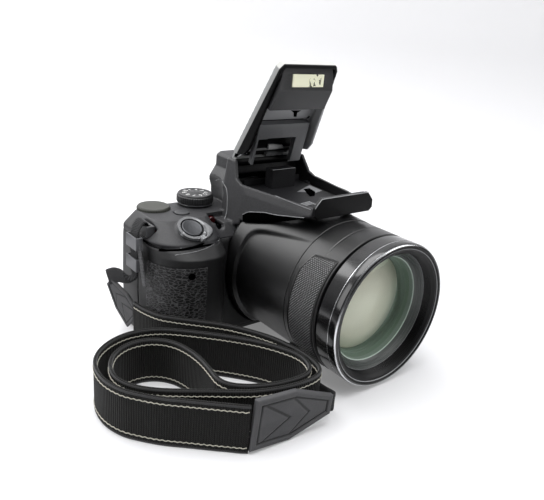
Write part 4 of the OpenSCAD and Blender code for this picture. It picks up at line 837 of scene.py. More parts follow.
# Painted highlights along the edge of the scoop and the lower edge of the slope.
goes_with(tube("scoop_edge", smooth_route(SCOOP_LINE, EDGE_STEP)[0], 0.32, sides=8), "top_cover", painted_edge_highlight)
goes_with(tube("slope_edge", smooth_route(SLOPE_LINE, EDGE_STEP)[0], 0.22, sides=8), "top_cover", painted_edge_highlight)
LIP_LINE = [(31.4, -10.3, 73.0), (30.2, -14.1, 75.4), (29.1, -19.1, 76.7), (27.8, -25.0, 78.1),
            (26.9, -29.6, 78.6), (25.9, -34.4, 79.2), (24.8, -39.7, 80.2), (23.6, -45.6, 81.3),
            (22.1, -51.3, 82.4)]
FOOT_SHADOW_LINE = [(31.8, -11.0, 70.4), (30.8, -15.3, 71.9), (29.6, -20.2, 73.2), (28.3, -26.1, 74.7),
                 (27.3, -30.5, 75.9), (26.2, -35.1, 77.1), (25.0, -40.2, 78.6), (23.5, -45.6, 80.3),
                 (21.8, -51.1, 82.1)]
FOOT_LINE = [(31.9, -11.4, 69.2), (31.0, -15.7, 70.2), (29.8, -20.6, 71.4), (28.2, -26.2, 72.8),
             (26.9, -30.2, 74.0), (25.6, -34.4, 75.4), (23.5, -38.6, 76.7), (22.3, -44.4, 78.9),
             (21.6, -50.9, 81.7)]
RIM_LINE = [(23.6, -28.1, 88.0), (23.3, -35.1, 87.9), (22.3, -41.5, 87.6), (21.2, -47.6, 87.3),
            (20.3, -53.4, 87.2)]
FOOT_SHADOW_PROUD = 0.25
# Painted shadow: a black strip along the foot of the hump stands in for the shade below its edge. The pale
# tubes along that edge and along the top rim of the hump are painted highlights.
for side, side_name in ((-1, "grip"), (1, "far")):
    lip = np.array(LIP_LINE) * (side, 1, 1)
    under = np.array(FOOT_SHADOW_LINE) * (side, 1, 1)
    foot = np.array(FOOT_LINE) * (side, 1, 1)
    proud = np.array((FOOT_SHADOW_PROUD * side, 0, 0))
    band_rows = [lip + proud, under + proud, foot + proud]
    band_rows += [foot - 2 * proud, under - 2 * proud, lip - 2 * proud]
    band = np.vstack(band_rows)
    n = len(LIP_LINE)
    count = len(band_rows)
    band_faces = [(i * n + k, i * n + k + 1, (i + 1) % count * n + k + 1, (i + 1) % count * n + k)
                  for i in range(count) for k in range(n - 1)]
    band_faces += [tuple(i * n for i in range(count)), tuple(i * n + n - 1 for i in reversed(range(count)))]
    if side < 0:
        band_faces = [face[::-1] for face in band_faces]
    goes_with(mesh_object(f"hump_foot_painted_shadow_{side_name}", band, band_faces), "top_cover", black_and_painted_shade)
    hump_edge_highlight = tube(f"hump_edge_highlight_{side_name}", smooth_route(lip + proud, EDGE_STEP)[0], 0.26, sides=8)
    goes_with(hump_edge_highlight, "top_cover", painted_edge_highlight)
    hump_rim = tube(f"hump_rim_{side_name}", smooth_route(np.array(RIM_LINE) * (side, 1, 1), EDGE_STEP)[0],
                    0.22, sides=8)
    goes_with(hump_rim, "top_cover", painted_edge_highlight)


# Brow plate and focus lamp
# A blank plate of satin black plastic closes the front of the hump, and the focus lamp is a dark red lens in
# the wall below the mode dial.


def gloss_plastic(name, code, rough):
    """Polished plastic or lacquer: a smooth coat with faint dust and handling marks."""
    made, tree = new_material(name)
    place = add(tree, "TexCoord")
    smear = add(tree, "TexNoise", {"Vector": place.outputs["Object"], "Scale": 1 / (6 * MM), "Detail": 5.0})
    gloss = add(tree, "MapRange", {"Value": smear.outputs[0], "To Min": rough - 0.04, "To Max": rough + 0.08})
    shader = add(tree, "BsdfPrincipled", {"Base Color": colour(code), "Roughness": gloss.outputs[0],
                                          "Coat Weight": 0.4, "Coat Roughness": 0.08})
    add(tree, "OutputMaterial", {0: shader.outputs[0]})
    return made


brow_satin = moulded_plastic("satin_black_plate", "#040405", 0.4, 0.02, 0.3, "#0a0a0b", shine=0.2)
take_place(shaped_copy("brow_plate", 0.5, segments=3), "brow_plate", brow_satin)
# Painted highlight: a pale tube along the top and side edges of the plate.
BROW_EDGE = [(-21.2, -57.8, 88.9), (-19.2, -57.8, 91.3), (-17.2, -57.8, 93.5), (0, -57.8, 93.62),
             (17.0, -57.8, 93.55)]
brow_edge = tube("brow_plate_edge", BROW_EDGE, 0.24, sides=8)
goes_with(brow_edge, "brow_plate", moulded_plastic("painted_plate_edge_highlight", "#5c5d5f", 0.4, 0.02, 0.35, "#a2a3a5"))
take_place(shaped_copy("focus_lamp", 0.5, segments=4), "focus_lamp",
           gloss_plastic("dark_red_lens", "#3a0a0e", 0.12))


# Flash well
# The tray under the flash is moulded in satin black, with a tall hinge block at the back. A hooked catch, a
# grey plate and a few ribs stand out from its floor toward the front.
TRAY_TOP = 84.3
BLOCK_TOP = 95.5
well_plastic = moulded_plastic("satin_black_tray", "#070708", 0.4, 0.03, 0.5, "#1c1c1e", shine=0.15)
take_place(shaped_copy("flash_well", 0.4), "flash_well", well_plastic)


def cut_away(made, cutters, sharp_degrees=50):
    """A piece with openings cut by other meshes, which are then dropped."""
    for cutter in cutters:
        cut = made.modifiers.new("cut", "BOOLEAN")
        cut.operation = "DIFFERENCE"
        cut.object = cutter
        cut.solver = "EXACT"
    shown = made.evaluated_get(bpy.context.evaluated_depsgraph_get())
    mesh = bpy.data.meshes.new_from_object(shown)
    made.modifiers.clear()
    made.data = mesh
    for cutter in cutters:
        bpy.data.objects.remove(cutter)
    made.data.set_sharp_from_angle(angle=math.radians(sharp_degrees))


def prism(name, outline, low, high, place):
    """An outline in millimetres, drawn between two heights of a placed frame."""
    outline = np.asarray(outline, float)
    n = len(outline)
    points = np.vstack([np.column_stack([outline, np.full(n, z)]) for z in (low, high)])
    faces = [tuple(range(n))[::-1], tuple(range(n, 2 * n))]
    faces += [(i, (i + 1) % n, n + (i + 1) % n, n + i) for i in range(n)]
    return mesh_object(name, placed(points, place), faces, smooth=False)


def disc_outline(radius, count, centre=(0.0, 0.0)):
    """Points on a circle."""
    a = 2 * np.pi * np.arange(count) / count
    return np.column_stack([centre[0] + radius * np.cos(a), centre[1] + radius * np.sin(a)])


tray_grey = moulded_plastic("satin_grey_plate", "#6a6b6d", 0.4, 0.03, 0.45, "#a0a1a3")
ON_TRAY = move(0, 0, TRAY_TOP)
plate = prism("flash_well_plate", [(2, -16.8), (18.6, -8.5), (17.6, -21), (11, -23)], -0.2, 0.25, ON_TRAY)
goes_with(plate, "flash_well", tray_grey)
catch = prism("flash_well_catch", [(8.6, -14.6), (13.4, -14.2), (11.6, -21.6), (6.4, -27), (3, -26.9)], -0.2,
              0.4, ON_TRAY)
goes_with(catch, "flash_well", black_and_painted_shade)
block_edge = prism("flash_well_block_edge", [(-8.5, -5.9), (8.5, -5.9), (8.5, -5.1), (-8.5, -5.1)], -0.3,
                   0.06, move(0, 0, BLOCK_TOP))
goes_with(block_edge, "flash_well", tray_grey)
for i in range(5):
    rib = prism(f"flash_well_rib_{i}", [(-13.4, -37.2 - 1.7 * i), (-4.4, -35.6 - 1.7 * i),
                                        (-4.4, -35.1 - 1.7 * i),
                                        (-13.4, -36.7 - 1.7 * i)], -0.2, 0.35, ON_TRAY)
    goes_with(rib, "flash_well", tray_grey)


# Flash
# The lid is a shell on a steel pin: grey lacquer on its outside with a painted highlight on its tip, bare
# black plastic on its flanks and inside, and its far inner wall painted pale as painted light.
# Under its tip sits the flash head with a ribbed cream window, and a grey bracket joins the lid to the hinge.
LID_HINGE = (0.0, 12.5, 97.5)
LID_TILT = -61.6
LID_LENGTH = 66.8
LID_UNDER = 1.2
LID_PLACE = move(*LID_HINGE) @ turn("X", LID_TILT)
LID_SIDE = LID_PLACE @ np.array([[0, 0, 1, 0], [1, 0, 0, 0], [0, 1, 0, 0], [0, 0, 0, 1.0]])


def lid_lacquer(name, skin_code, tip_highlight_code, inner_code, far_code):
    """Satin lacquer on the outside of the lid, with a painted highlight on its tip, over bare black plastic
    below a moulded line. The far inner wall is painted pale grey, as painted light in its deep shade."""
    made, tree = new_material(name)
    place = add(tree, "TexCoord")
    local = add(tree, "Mapping", {"Vector": place.outputs["Object"], "Location": [c * MM for c in LID_HINGE],
                                  "Rotation": (math.radians(LID_TILT), 0.0, 0.0)}, vector_type="TEXTURE")
    split = add(tree, "SeparateXYZ", {0: local.outputs[0]})
    skin = add(tree, "MapRange", {"Value": split.outputs[2], "From Min": -0.8 * MM, "From Max": -0.5 * MM})
    # Painted highlight: the last few millimetres of the tip are paler.
    tip = add(tree, "MapRange", {"Value": split.outputs[1], "From Min": (3.4 - LID_LENGTH) * MM,
                                 "From Max": (2.8 - LID_LENGTH) * MM})
    point = add(tree, "NewGeometry")
    split_way = add(tree, "VectorMath", {0: point.outputs["True Normal"], 1: tuple(LID_PLACE[:3, 2])},
                    operation="DOT_PRODUCT")
    outer = add(tree, "MapRange", {"Value": split_way.outputs["Value"], "From Min": -0.8, "From Max": -0.6})
    skin = add(tree, "Math", {0: skin.outputs[0], 1: outer.outputs[0]}, operation="MULTIPLY")
    grain = add(tree, "TexNoise", {"Vector": place.outputs["Object"], "Scale": 1 / (0.5 * MM), "Detail": 3.0})
    tone = add(tree, "Mix", {"Factor": tip.outputs[0], 6: colour(skin_code), 7: colour(tip_highlight_code)},
               data_type="RGBA")
    # Painted light: the inner side of the far wall is pale grey, standing in for light in its deep shade.
    far = add(tree, "MapRange", {"Value": split.outputs[0], "From Min": 15 * MM, "From Max": 17 * MM})
    below = add(tree, "MapRange", {"Value": split.outputs[1], "From Min": -42 * MM, "From Max": -40 * MM})
    far = add(tree, "Math", {0: far.outputs[0], 1: below.outputs[0]}, operation="MULTIPLY")
    bare = add(tree, "Mix", {"Factor": far.outputs[0], 6: colour(inner_code), 7: colour(far_code)},
               data_type="RGBA")
    mix = add(tree, "Mix", {"Factor": skin.outputs[0], 6: bare.outputs[2], 7: tone.outputs[2]},
              data_type="RGBA")
    shine = add(tree, "MapRange", {"Value": skin.outputs[0], "To Min": 0.1, "To Max": 0.5})
    bump = add(tree, "Bump", {"Height": grain.outputs[0], "Strength": 0.5, "Distance": 0.04 * MM})
    shader = add(tree, "BsdfPrincipled", {"Base Color": mix.outputs[2], "Roughness": 0.42,
                                          "Normal": bump.outputs[0], "Specular IOR Level": shine.outputs[0]})
    add(tree, "OutputMaterial", {0: shader.outputs[0]})
    return made


lid_finish = lid_lacquer("grey_lacquered_lid", "#929393", "#c4c4c1", "#050506", "#b0b1b2")
head_plastic = moulded_plastic("satin_black_head", "#262627", 0.4, 0.03, 0.5, "#48484a", shine=0.35)
bracket_plastic = moulded_plastic("satin_grey_bracket", "#4c4d4f", 0.4, 0.03, 0.45, "#77787a")
take_place(moulded_copy("flash_lid", 0.32, 5, 0.4), "flash_lid", lid_finish)
HEAD_LOW = 41.4
head = shaped_copy("flash_head", 0.35)
cut_away(head, [prism("head_cut", [(-25, -HEAD_LOW), (25, -HEAD_LOW), (25, -36), (-25, -36)], -20, 1.0,
                      LID_PLACE)],
         sharp_degrees=15)
take_place(head, "flash_head", head_plastic)
# Painted light: this grey panel lines the recess, lifting it out of the head's shade.
recess = prism("flash_lid_recess", [(-19.4, -40.5), (19.4, -40.5), (19.9, -29), (-19.9, -29)],
               LID_UNDER - 0.08, LID_UNDER + 0.3, LID_PLACE)
goes_with(recess, "flash_lid", tray_grey)
bracket = shaped_copy("flash_bracket", 0.4)
cut_away(bracket, [prism("bracket_cut", [(-17.0, -19.8), (-10.0, -19.8), (-10.0, 0), (-17.0, 0)], -20, 0,
                         LID_PLACE)],
         sharp_degrees=15)
take_place(bracket, "flash_bracket", bracket_plastic)
# Painted shade: black sheets on the panel stand for the dark inside the hook's slot and a small slot.
hook_slot = prism("flash_lid_hook", [(2.8, -35.3), (5.8, -33.5), (7.3, -30.6), (9.5, -30.5), (8.5, -33.4),
                                     (10.7, -35)],
                  LID_UNDER - 0.2, LID_UNDER + 0.3, LID_PLACE)
goes_with(hook_slot, "flash_lid", black_and_painted_shade)
small_slot = prism("flash_lid_slot", [(17.8, -28.9), (18.8, -30.6), (20.2, -30.4), (19.4, -28.9)],
                   LID_UNDER - 0.2, LID_UNDER + 0.3, LID_PLACE)
goes_with(small_slot, "flash_lid", black_and_painted_shade)
spring_plate = prism("flash_lid_plate", [(-2.7, -10.8), (-1.3, -6.7), (10.2, -6.0), (8.3, -9.9)], -0.1,
                     LID_UNDER + 0.3, LID_PLACE)
goes_with(spring_plate, "flash_lid", moulded_plastic("white_contact_plate", "#d8d8d8", 0.4, 0.02, 0.4))
hinge_step = prism("flash_lid_step", [(-2.4, -5.6), (-2.4, -3.2), (11.0, -3.2), (11.0, -5.6)], -1.0,
                   LID_UNDER + 0.3, LID_PLACE)
goes_with(hinge_step, "flash_lid", tray_grey)
# A small block at the end of the hinge. Its pale colour is a painted highlight.
hinge_lug = prism("flash_lid_lug", [(-3.2, 0.9), (-3.2, -0.1), (-9.6, -4.2), (-9.6, -3.2)], -22.3, -20.4,
                  LID_SIDE)
goes_with(hinge_lug, "flash_lid", moulded_plastic("hinge_lug_painted_highlight", "#a0a1a2", 0.4, 0.02, 0.4))


def flash_diffuser(name, code, rib_mm):
    """A cream polycarbonate window with fine vertical ribs. It glows faintly as painted light, though it is no
    lamp. The end of the flash tube and its electrode show dark through its far half."""
    made, tree = new_material(name)
    place = add(tree, "TexCoord")
    split = add(tree, "SeparateXYZ", {0: place.outputs["Object"]})
    rib = add(tree, "Math", {0: split.outputs[0], 1: 2 * math.pi / (rib_mm * MM)}, operation="MULTIPLY")
    rib = add(tree, "Math", {0: rib.outputs[0]}, operation="SINE")
    bump = add(tree, "Bump", {"Height": rib.outputs[0], "Strength": 0.3, "Distance": 0.05 * MM})
    start = add(tree, "MapRange", {"Value": split.outputs[0], "From Min": 0.0, "From Max": 1.6 * MM})
    end = add(tree, "MapRange", {"Value": split.outputs[0], "From Min": 9.4 * MM, "From Max": 8.4 * MM})
    blot = add(tree, "TexNoise", {"Vector": place.outputs["Object"], "Scale": 1 / (2.6 * MM), "Detail": 2.0})
    dark = add(tree, "MapRange", {"Value": blot.outputs[0], "From Min": 0.5, "From Max": 0.58})
    dark = add(tree, "Math", {0: dark.outputs[0], 1: start.outputs[0]}, operation="MULTIPLY")
    dark = add(tree, "Math", {0: dark.outputs[0], 1: end.outputs[0]}, operation="MULTIPLY")
    mix = add(tree, "Mix", {"Factor": dark.outputs[0], 6: colour(code), 7: colour("#4a4a3e")},
              data_type="RGBA")
    # Painted light: the window's own colour is given off as a faint glow.
    shader = add(tree, "BsdfPrincipled", {"Base Color": mix.outputs[2], "Roughness": 0.2, "Coat Weight": 0.5,
                                          "Emission Color": mix.outputs[2], "Emission Strength": 0.15,
                                          "Subsurface Weight": 0.1,
                                          "Subsurface Radius": (1.0 * MM, 1.0 * MM, 0.8 * MM),
                                          "Normal": bump.outputs[0]})
    add(tree, "OutputMaterial", {0: shader.outputs[0]})
    return made


window_cream = flash_diffuser("cream_ribbed_window", "#fdfde0", 0.7)
take_place(shaped_copy("flash_window", 0.15), "flash_window", window_cream)


# Lens shroud
# The fixed barrel is a satin black polycarbonate tube. A saddle panel stands a little proud on its top, and
# its edge runs in one soft crease round the root of the barrel. Two openings take the side controls.
LENS_Z = 41.0
BARREL_R = 39.5
BORE_R = 37.6
SHROUD_BACK = 9.0
SHROUD_FRONT = 61.6
SADDLE_H = 2.2
SADDLE_FLAT = 29.0
SADDLE_REAR = (8.0, 33.0)
SADDLE_FRONT = (61.6, 24.5)
COLLAR_END = 19.0
CREASE = 1.3
ON_LENS = move(0, 0, LENS_Z) @ turn("X", 90)


def polar_tube(name, angles, stations, outside, inside, closed=True):
    """A tube wall about the lens axis: the outside radius is a grid over angle and distance, the inside is
    plain."""
    grid_a, grid_s = np.meshgrid(angles, stations, indexing="ij")
    layers = []
    for radius in (outside, np.full_like(outside, inside)):
        layers.append(np.stack([radius * np.cos(grid_a), radius * np.sin(grid_a), grid_s], -1).reshape(-1, 3))
    n, m = len(angles), len(stations)
    at = np.arange(n * m).reshape(n, m)
    if closed:
        at = np.vstack([at, at[:1]])
    quads = np.stack([at[:-1, :-1], at[1:, :-1], at[1:, 1:], at[:-1, 1:]], -1).reshape(-1, 4)
    low = np.stack([at[1:, 0], at[:-1, 0], at[:-1, 0] + n * m, at[1:, 0] + n * m], -1)
    high = np.stack([at[:-1, -1], at[1:, -1], at[1:, -1] + n * m, at[:-1, -1] + n * m], -1)
    walls = [quads, quads[:, ::-1] + n * m, low, high]
    if not closed:
        walls.append(np.stack([at[0, :-1], at[0, 1:], at[0, 1:] + n * m, at[0, :-1] + n * m], -1))
        walls.append(np.stack([at[-1, 1:], at[-1, :-1], at[-1, :-1] + n * m, at[-1, 1:] + n * m], -1))
    made = mesh_object(name, placed(np.vstack(layers), ON_LENS), np.vstack(walls))
    made.data.set_sharp_from_angle(angle=math.radians(50))
    return made


def end_round(stations, back, front, drop):
    """How far a tube's outside falls at its two ends."""
    near = np.minimum(stations - back, front - stations)
    return drop * (1 - np.clip(near / drop, 0, 1)) ** 2


round_turn = np.radians(np.arange(0, 360, 0.9))
shroud_s = np.concatenate([np.linspace(SHROUD_BACK, 61.0, 120), [61.3, 61.5, 61.6]])
shroud_angle, shroud_at = np.meshgrid(round_turn, shroud_s, indexing="ij")
saddle_half = np.interp(shroud_at, [SADDLE_REAR[0], SADDLE_FRONT[0]], [SADDLE_REAR[1], SADDLE_FRONT[1]])
saddle_in = np.where(np.sin(shroud_angle) > 0, saddle_half - np.abs(BARREL_R * np.cos(shroud_angle)), -30.0)
collar_in = (COLLAR_END - shroud_at) * ramp(np.sin(shroud_angle), -0.95, -0.7)
both_in = 3.0 * np.logaddexp(saddle_in / 3.0, collar_in / 3.0)
panel_h = np.interp(shroud_at, [SHROUD_BACK, SADDLE_FLAT, SHROUD_FRONT], [SADDLE_H, SADDLE_H, 0.2])
panel = panel_h * ramp(both_in, 0.0, CREASE)
shroud_r = BARREL_R + panel - end_round(shroud_at, SHROUD_BACK, SHROUD_FRONT, 0.3)
shroud = polar_tube("lens_shroud_satin", round_turn, shroud_s, shroud_r, BORE_R)

SIDE_LEVER_Y = -40.0
SNAP_Y = -54.0
TO_FAR_SIDE = turn("Y", 90)
slot_cut = prism("slot_cut", [(-5.5, -2.4), (5.5, -2.4), (5.5, 2.4), (-5.5, 2.4)], 30, 50,
                 move(0, SIDE_LEVER_Y, LENS_Z) @ TO_FAR_SIDE)
snap_cut = prism("snap_cut", disc_outline(3.3, 40), 30, 50, move(0, SNAP_Y, LENS_Z) @ TO_FAR_SIDE)
cut_away(shroud, [slot_cut, snap_cut])
satin_barrel = moulded_plastic("satin_black_barrel", "#080809", 0.45, 0.025, 0.36, "#161617")
take_place(shroud, "lens_shroud", satin_barrel)


# Knurled band
# A second ring of the same plastic carries two rubber pads in shallow beds. Each pad has a diamond knurl and
# one cut corner, and a fine line runs round the top between the pads.
BAND_FRONT = 85.2
PAD_BACK = 65.0
PAD_FRONT = 83.8
PAD_UP = 48.0
PAD_DOWN = 50.0
BED_DEPTH = 0.4
band_s = np.concatenate([[61.6, 61.75, 61.9], np.linspace(62.2, 84.6, 76), [84.85, 85.05, BAND_FRONT]])
band_angle, band_at = np.meshgrid(round_turn, band_s, indexing="ij")


def pad_inside(angle, at, trim):
    """How far a point lies inside the outline of a pad, in millimetres."""
    lean = np.degrees(np.arctan2(np.sin(angle), np.abs(np.cos(angle))))
    upper = np.interp(at, [PAD_BACK, PAD_BACK + 3.6, PAD_FRONT], [PAD_UP - 18, PAD_UP - 3.5, PAD_UP])
    up = np.radians(upper - lean) * BARREL_R
    down = np.radians(lean + PAD_DOWN) * BARREL_R
    return np.minimum(np.minimum(up, down), np.minimum(at - PAD_BACK, PAD_FRONT - at)) - trim


bed = BED_DEPTH * ramp(pad_inside(band_angle, band_at, 0.0), -0.1, 0.25)
bed_lip = 0.18 * np.exp(-((pad_inside(band_angle, band_at, 0.0) + 0.7) / 0.35) ** 2)
top_line = 0.22 * np.exp(-((band_at - 74.4) / 0.3) ** 2) * ramp(np.sin(band_angle), 0.74, 0.78)
band_r = BARREL_R - bed + bed_lip - top_line - end_round(band_at, SHROUD_FRONT, BAND_FRONT, 0.35)
take_place(polar_tube("barrel_ring_satin", round_turn, band_s, band_r, BORE_R), "barrel_ring", satin_barrel)

KNURL = 1.6
pads = []
for side in (0, 1):
    pad_angle = np.radians(np.arange(-PAD_DOWN + 0.4, PAD_UP - 0.3, 0.36))
    pad_angle = np.pi - pad_angle[::-1] if side else pad_angle
    pad_s = np.linspace(PAD_BACK + 0.25, PAD_FRONT - 0.25, 74)
    grid_a, grid_s = np.meshgrid(pad_angle, pad_s, indexing="ij")
    inside = pad_inside(grid_a, grid_s, 0.2)
    run = BARREL_R * grid_a
    weave = np.cos(np.pi * (run + 1.1 * grid_s) / KNURL) * np.cos(np.pi * (run - 1.1 * grid_s) / KNURL)
    crest = np.abs(weave) * ramp(inside, 0.5, 1.0)
    pad_r = BARREL_R - 0.38 + 0.4 * ramp(inside, -0.05, 0.3) + 0.5 * crest
    pad = polar_tube(f"barrel_pad_{'grip' if side else 'far'}", pad_angle, pad_s, pad_r, BARREL_R - 0.42,
                     False)
    mark_points(pad, np.concatenate([crest.ravel(), np.zeros(crest.size)]))
    pads.append(pad)


def knurled_rubber(name, code, crest_code):
    """Moulded rubber with a diamond knurl: its crests carry a painted highlight in patches, paler than the
    cuts between them.
    """
    made, tree = new_material(name)
    place = add(tree, "TexCoord")
    dust = add(tree, "TexNoise", {"Vector": place.outputs["Object"], "Scale": 1 / (0.8 * MM), "Detail": 3.0})
    crest = add(tree, "Attribute", attribute_name="marked")
    top = add(tree, "MapRange", {"Value": crest.outputs["Fac"], "From Min": 0.45, "From Max": 0.95})
    # Painted highlight: the crests are mixed toward the pale colour, in patches.
    painted_crest_highlight = add(tree, "Math", {0: top.outputs[0], 1: dust.outputs[0]}, operation="MULTIPLY")
    mix = add(tree, "Mix", {"Factor": painted_crest_highlight.outputs[0], 6: colour(code), 7: colour(crest_code)},
              data_type="RGBA")
    bump = add(tree, "Bump", {"Height": dust.outputs[0], "Strength": 0.3, "Distance": 0.02 * MM})
    shader = add(tree, "BsdfPrincipled", {"Base Color": mix.outputs[2], "Roughness": 0.5,
                                          "Normal": bump.outputs[0]})
    add(tree, "OutputMaterial", {0: shader.outputs[0]})
    return made


pad_rubber = knurled_rubber("black_knurled_rubber", "#060607", "#c0c0c2")
take_place(pads[1], "barrel_pads", pad_rubber)
goes_with(pads[0], "barrel_pads", pad_rubber)


# Zoom tubes
# Two thin aluminium tubes slide out of the barrel one after the other. They are anodised satin black.
tube_black = bare_metal("black_anodised_tube", "#232426", 0.42, 0.6)
take_place(shaped_copy("zoom_barrel", 0.25), "zoom_barrel", tube_black)
take_place(shaped_copy("front_barrel", 0.25), "front_barrel", tube_black)


# Front ring
# A turned aluminium ring in polished black lacquer closes the front. It has the filter thread inside, a bare
# bright line that is cut through the lacquer, and a bright edge on its rim.
FILTER_R = 33.5
THREAD_PITCH = 0.75
thread_line = [(FILTER_R + (0.05 if i % 2 else 0.4), 97.8 - i * THREAD_PITCH / 2) for i in range(15)]
ring_line = [(32.9, 85.6), (38.3, 85.6), (38.4, 86.6), (39.3, 86.7), (39.5, 86.9), (39.5, 94.4), (39.2, 94.6),
             (39.2, 95.2), (39.5, 95.4), (39.5, 98.5), (39.2, 99.2), (38.6, 99.8), (37.9, 100), (37.4, 99.95),
             (36.8, 99.3), (36.4, 99), (35.2, 98.9), (34.6, 98.3)] + thread_line + [(33.5, 92), (32.9, 92)]
ring_lacquer = gloss_plastic("polished_black_lacquer", "#0c0c0d", 0.16)
front_ring = take_place(lathe("front_ring_turned", ring_line, ON_LENS), "front_ring", ring_lacquer)
ring_satin = moulded_plastic("satin_black_anodising", "#030304", 0.3, 0.02, 0.4, "#0c0c0d", shine=0.22)
front_ring.data.materials.append(ring_satin)
RIM_R = 38.2
for face in front_ring.data.polygons:
    from_axis = math.hypot(face.center.x, face.center.z - LENS_Z * MM)
    face.material_index = 1 if from_axis < RIM_R * MM else 0
bright_cut = bare_metal("bright_cut_aluminium", "#d5d6d8", 0.22, 0.5)
bright_line = lathe("front_ring_line", [(39.15, 94.7), (39.46, 94.74), (39.46, 95.06), (39.15, 95.1)],
                    ON_LENS)
goes_with(bright_line, "front_ring", bright_cut)
bright_edge = lathe("front_ring_edge", [(38.98, 99.2), (39.2, 99.22), (38.8, 99.72), (38.64, 99.78),
                                        (38.6, 99.6)],
                    ON_LENS)
goes_with(bright_edge, "front_ring", bright_cut)
# Painted highlight: a pale line inside the rim.
rim_line = lathe("front_ring_inner_line", [(36.5, 99.0), (36.8, 99.25), (36.75, 99.45), (36.4, 99.2)],
                 ON_LENS)
goes_with(rim_line, "front_ring", painted_edge_highlight)


# Lens cell and glass
# The front element is a thick coated glass at the bottom of a stepped cone, anodised grey. Behind it the wall
# of the cell is painted pale green, as a painted reflection in the coating, and the next element is painted
# cream, as a painted reflection of the tent.
INNER_GLASS_R = 27.1
cell_line = [(33.2, 68), (33.2, 85.4), (32.7, 85.4), (32.7, 92.2), (33.2, 92.3), (33.2, 93.0), (32.8, 93.1),
             (32.0, 92.0), (31.7, 92.1), (31.0, 91.0), (30.7, 91.1), (29.5, 89.2), (29.0, 89.0), (28.9, 86.0),
             (28.6, 84.8), (28.4, 83.6), (28.0, 83.4), (27.8, 82.2), (27.4, 82.0), (27.3, 80.0), (27.2, 68)]


def anodised_black(name, code, groove_mm):
    """Black anodised aluminium with fine turning grooves round the lens axis."""
    made, tree = new_material(name)
    place = add(tree, "TexCoord")
    split = add(tree, "SeparateXYZ", {0: place.outputs["Object"]})
    groove = add(tree, "Math", {0: split.outputs[1], 1: 2 * math.pi / (groove_mm * MM)}, operation="MULTIPLY")
    groove = add(tree, "Math", {0: groove.outputs[0]}, operation="SINE")
    bump = add(tree, "Bump", {"Height": groove.outputs[0], "Strength": 0.2, "Distance": 0.04 * MM})
    shader = add(tree, "BsdfPrincipled", {"Base Color": colour(code), "Roughness": 0.4,
                                          "Normal": bump.outputs[0]})
    add(tree, "OutputMaterial", {0: shader.outputs[0]})
    return made


def coated_glass(name, tint):
    """Lens glass with a green coating: clear from the front and mirror-like at its edges, on its outer side
    only."""
    made, tree = new_material(name)
    facing = add(tree, "Fresnel", {"IOR": 1.38})
    point = add(tree, "NewGeometry")
    outer = add(tree, "Math", {0: 1.0, 1: point.outputs["Backfacing"]}, operation="SUBTRACT")
    shine = add(tree, "Math", {0: facing.outputs[0], 1: outer.outputs[0]}, operation="MULTIPLY")
    clear = add(tree, "BsdfTransparent", {"Color": colour("#f8faf8")})
    mirror = add(tree, "BsdfAnisotropic", {"Color": colour(tint), "Roughness": 0.03})
    mix = add(tree, "MixShader", {0: shine.outputs[0], 1: clear.outputs[0], 2: mirror.outputs[0]})
    add(tree, "OutputMaterial", {0: mix.outputs[0]})
    return made


def element_painted_reflection(name, code, rim_code, radius_mm):
    """The next element: its colour is a painted reflection of the pale tent, greener at its rim."""
    made, tree = new_material(name)
    place = add(tree, "TexCoord")
    centred = add(tree, "Mapping", {"Vector": place.outputs["Object"], "Location": (0.0, 0.0, -LENS_Z * MM),
                                    "Scale": (1.0, 0.0, 1.0)})
    away = add(tree, "VectorMath", {0: centred.outputs[0]}, operation="LENGTH")
    rim = add(tree, "MapRange", {"Value": away.outputs["Value"], "From Min": radius_mm * 0.72 * MM,
                                 "From Max": radius_mm * MM})
    cloud = add(tree, "TexNoise", {"Vector": centred.outputs[0], "Scale": 1 / (14 * MM), "Detail": 2.0})
    tone = add(tree, "Math", {0: cloud.outputs[0], 1: 0.35, 2: rim.outputs[0]}, operation="MULTIPLY_ADD",
               use_clamp=True)
    mix = add(tree, "Mix", {"Factor": tone.outputs[0], 6: colour(code), 7: colour(rim_code)},
              data_type="RGBA")
    shader = add(tree, "BsdfPrincipled", {"Base Color": mix.outputs[2], "Roughness": 0.3, "Coat Weight": 0.6})
    add(tree, "OutputMaterial", {0: shader.outputs[0]})
    return made


def dome(radius, curve, apex, back):
    """Outline of a round-faced disc: its curved front, its edge and its flat back."""
    front = [(r, apex - curve + math.sqrt(curve * curve - r * r)) for r in np.linspace(0, radius, 22)]
    return front + [(radius, back), (0.0, back)]


# Painted reflection: the wall of the cell is painted pale green, standing in for the coating's reflection over
# it.
cell_wall_painted_green = anodised_black("green_painted_reflection_cell_wall", "#77877d", 0.8)
cell = take_place(lathe("lens_cell_stepped", cell_line, ON_LENS), "lens_cell", cell_wall_painted_green)
cell.data.materials.append(anodised_black("grey_anodised_cone", "#474b49", 0.8))
CELL_LIP_R = 29.1
for face in cell.data.polygons:
    from_axis = math.hypot(face.center.x, face.center.z - LENS_Z * MM)
    face.material_index = 1 if from_axis > CELL_LIP_R * MM else 0
# Painted highlight on the lip of the cell.
lip_line = lathe("lens_cell_lip", [(32.75, 93.0), (33.25, 92.95), (33.25, 93.15), (32.85, 93.2)], ON_LENS)
goes_with(lip_line, "lens_cell", painted_edge_highlight)
front_glass = lathe("front_lens_glass", dome(28.85, 75.0, 92.4, 86.5), ON_LENS)
take_place(front_glass, "front_lens", coated_glass("green_coated_glass", "#cfe6d2"))
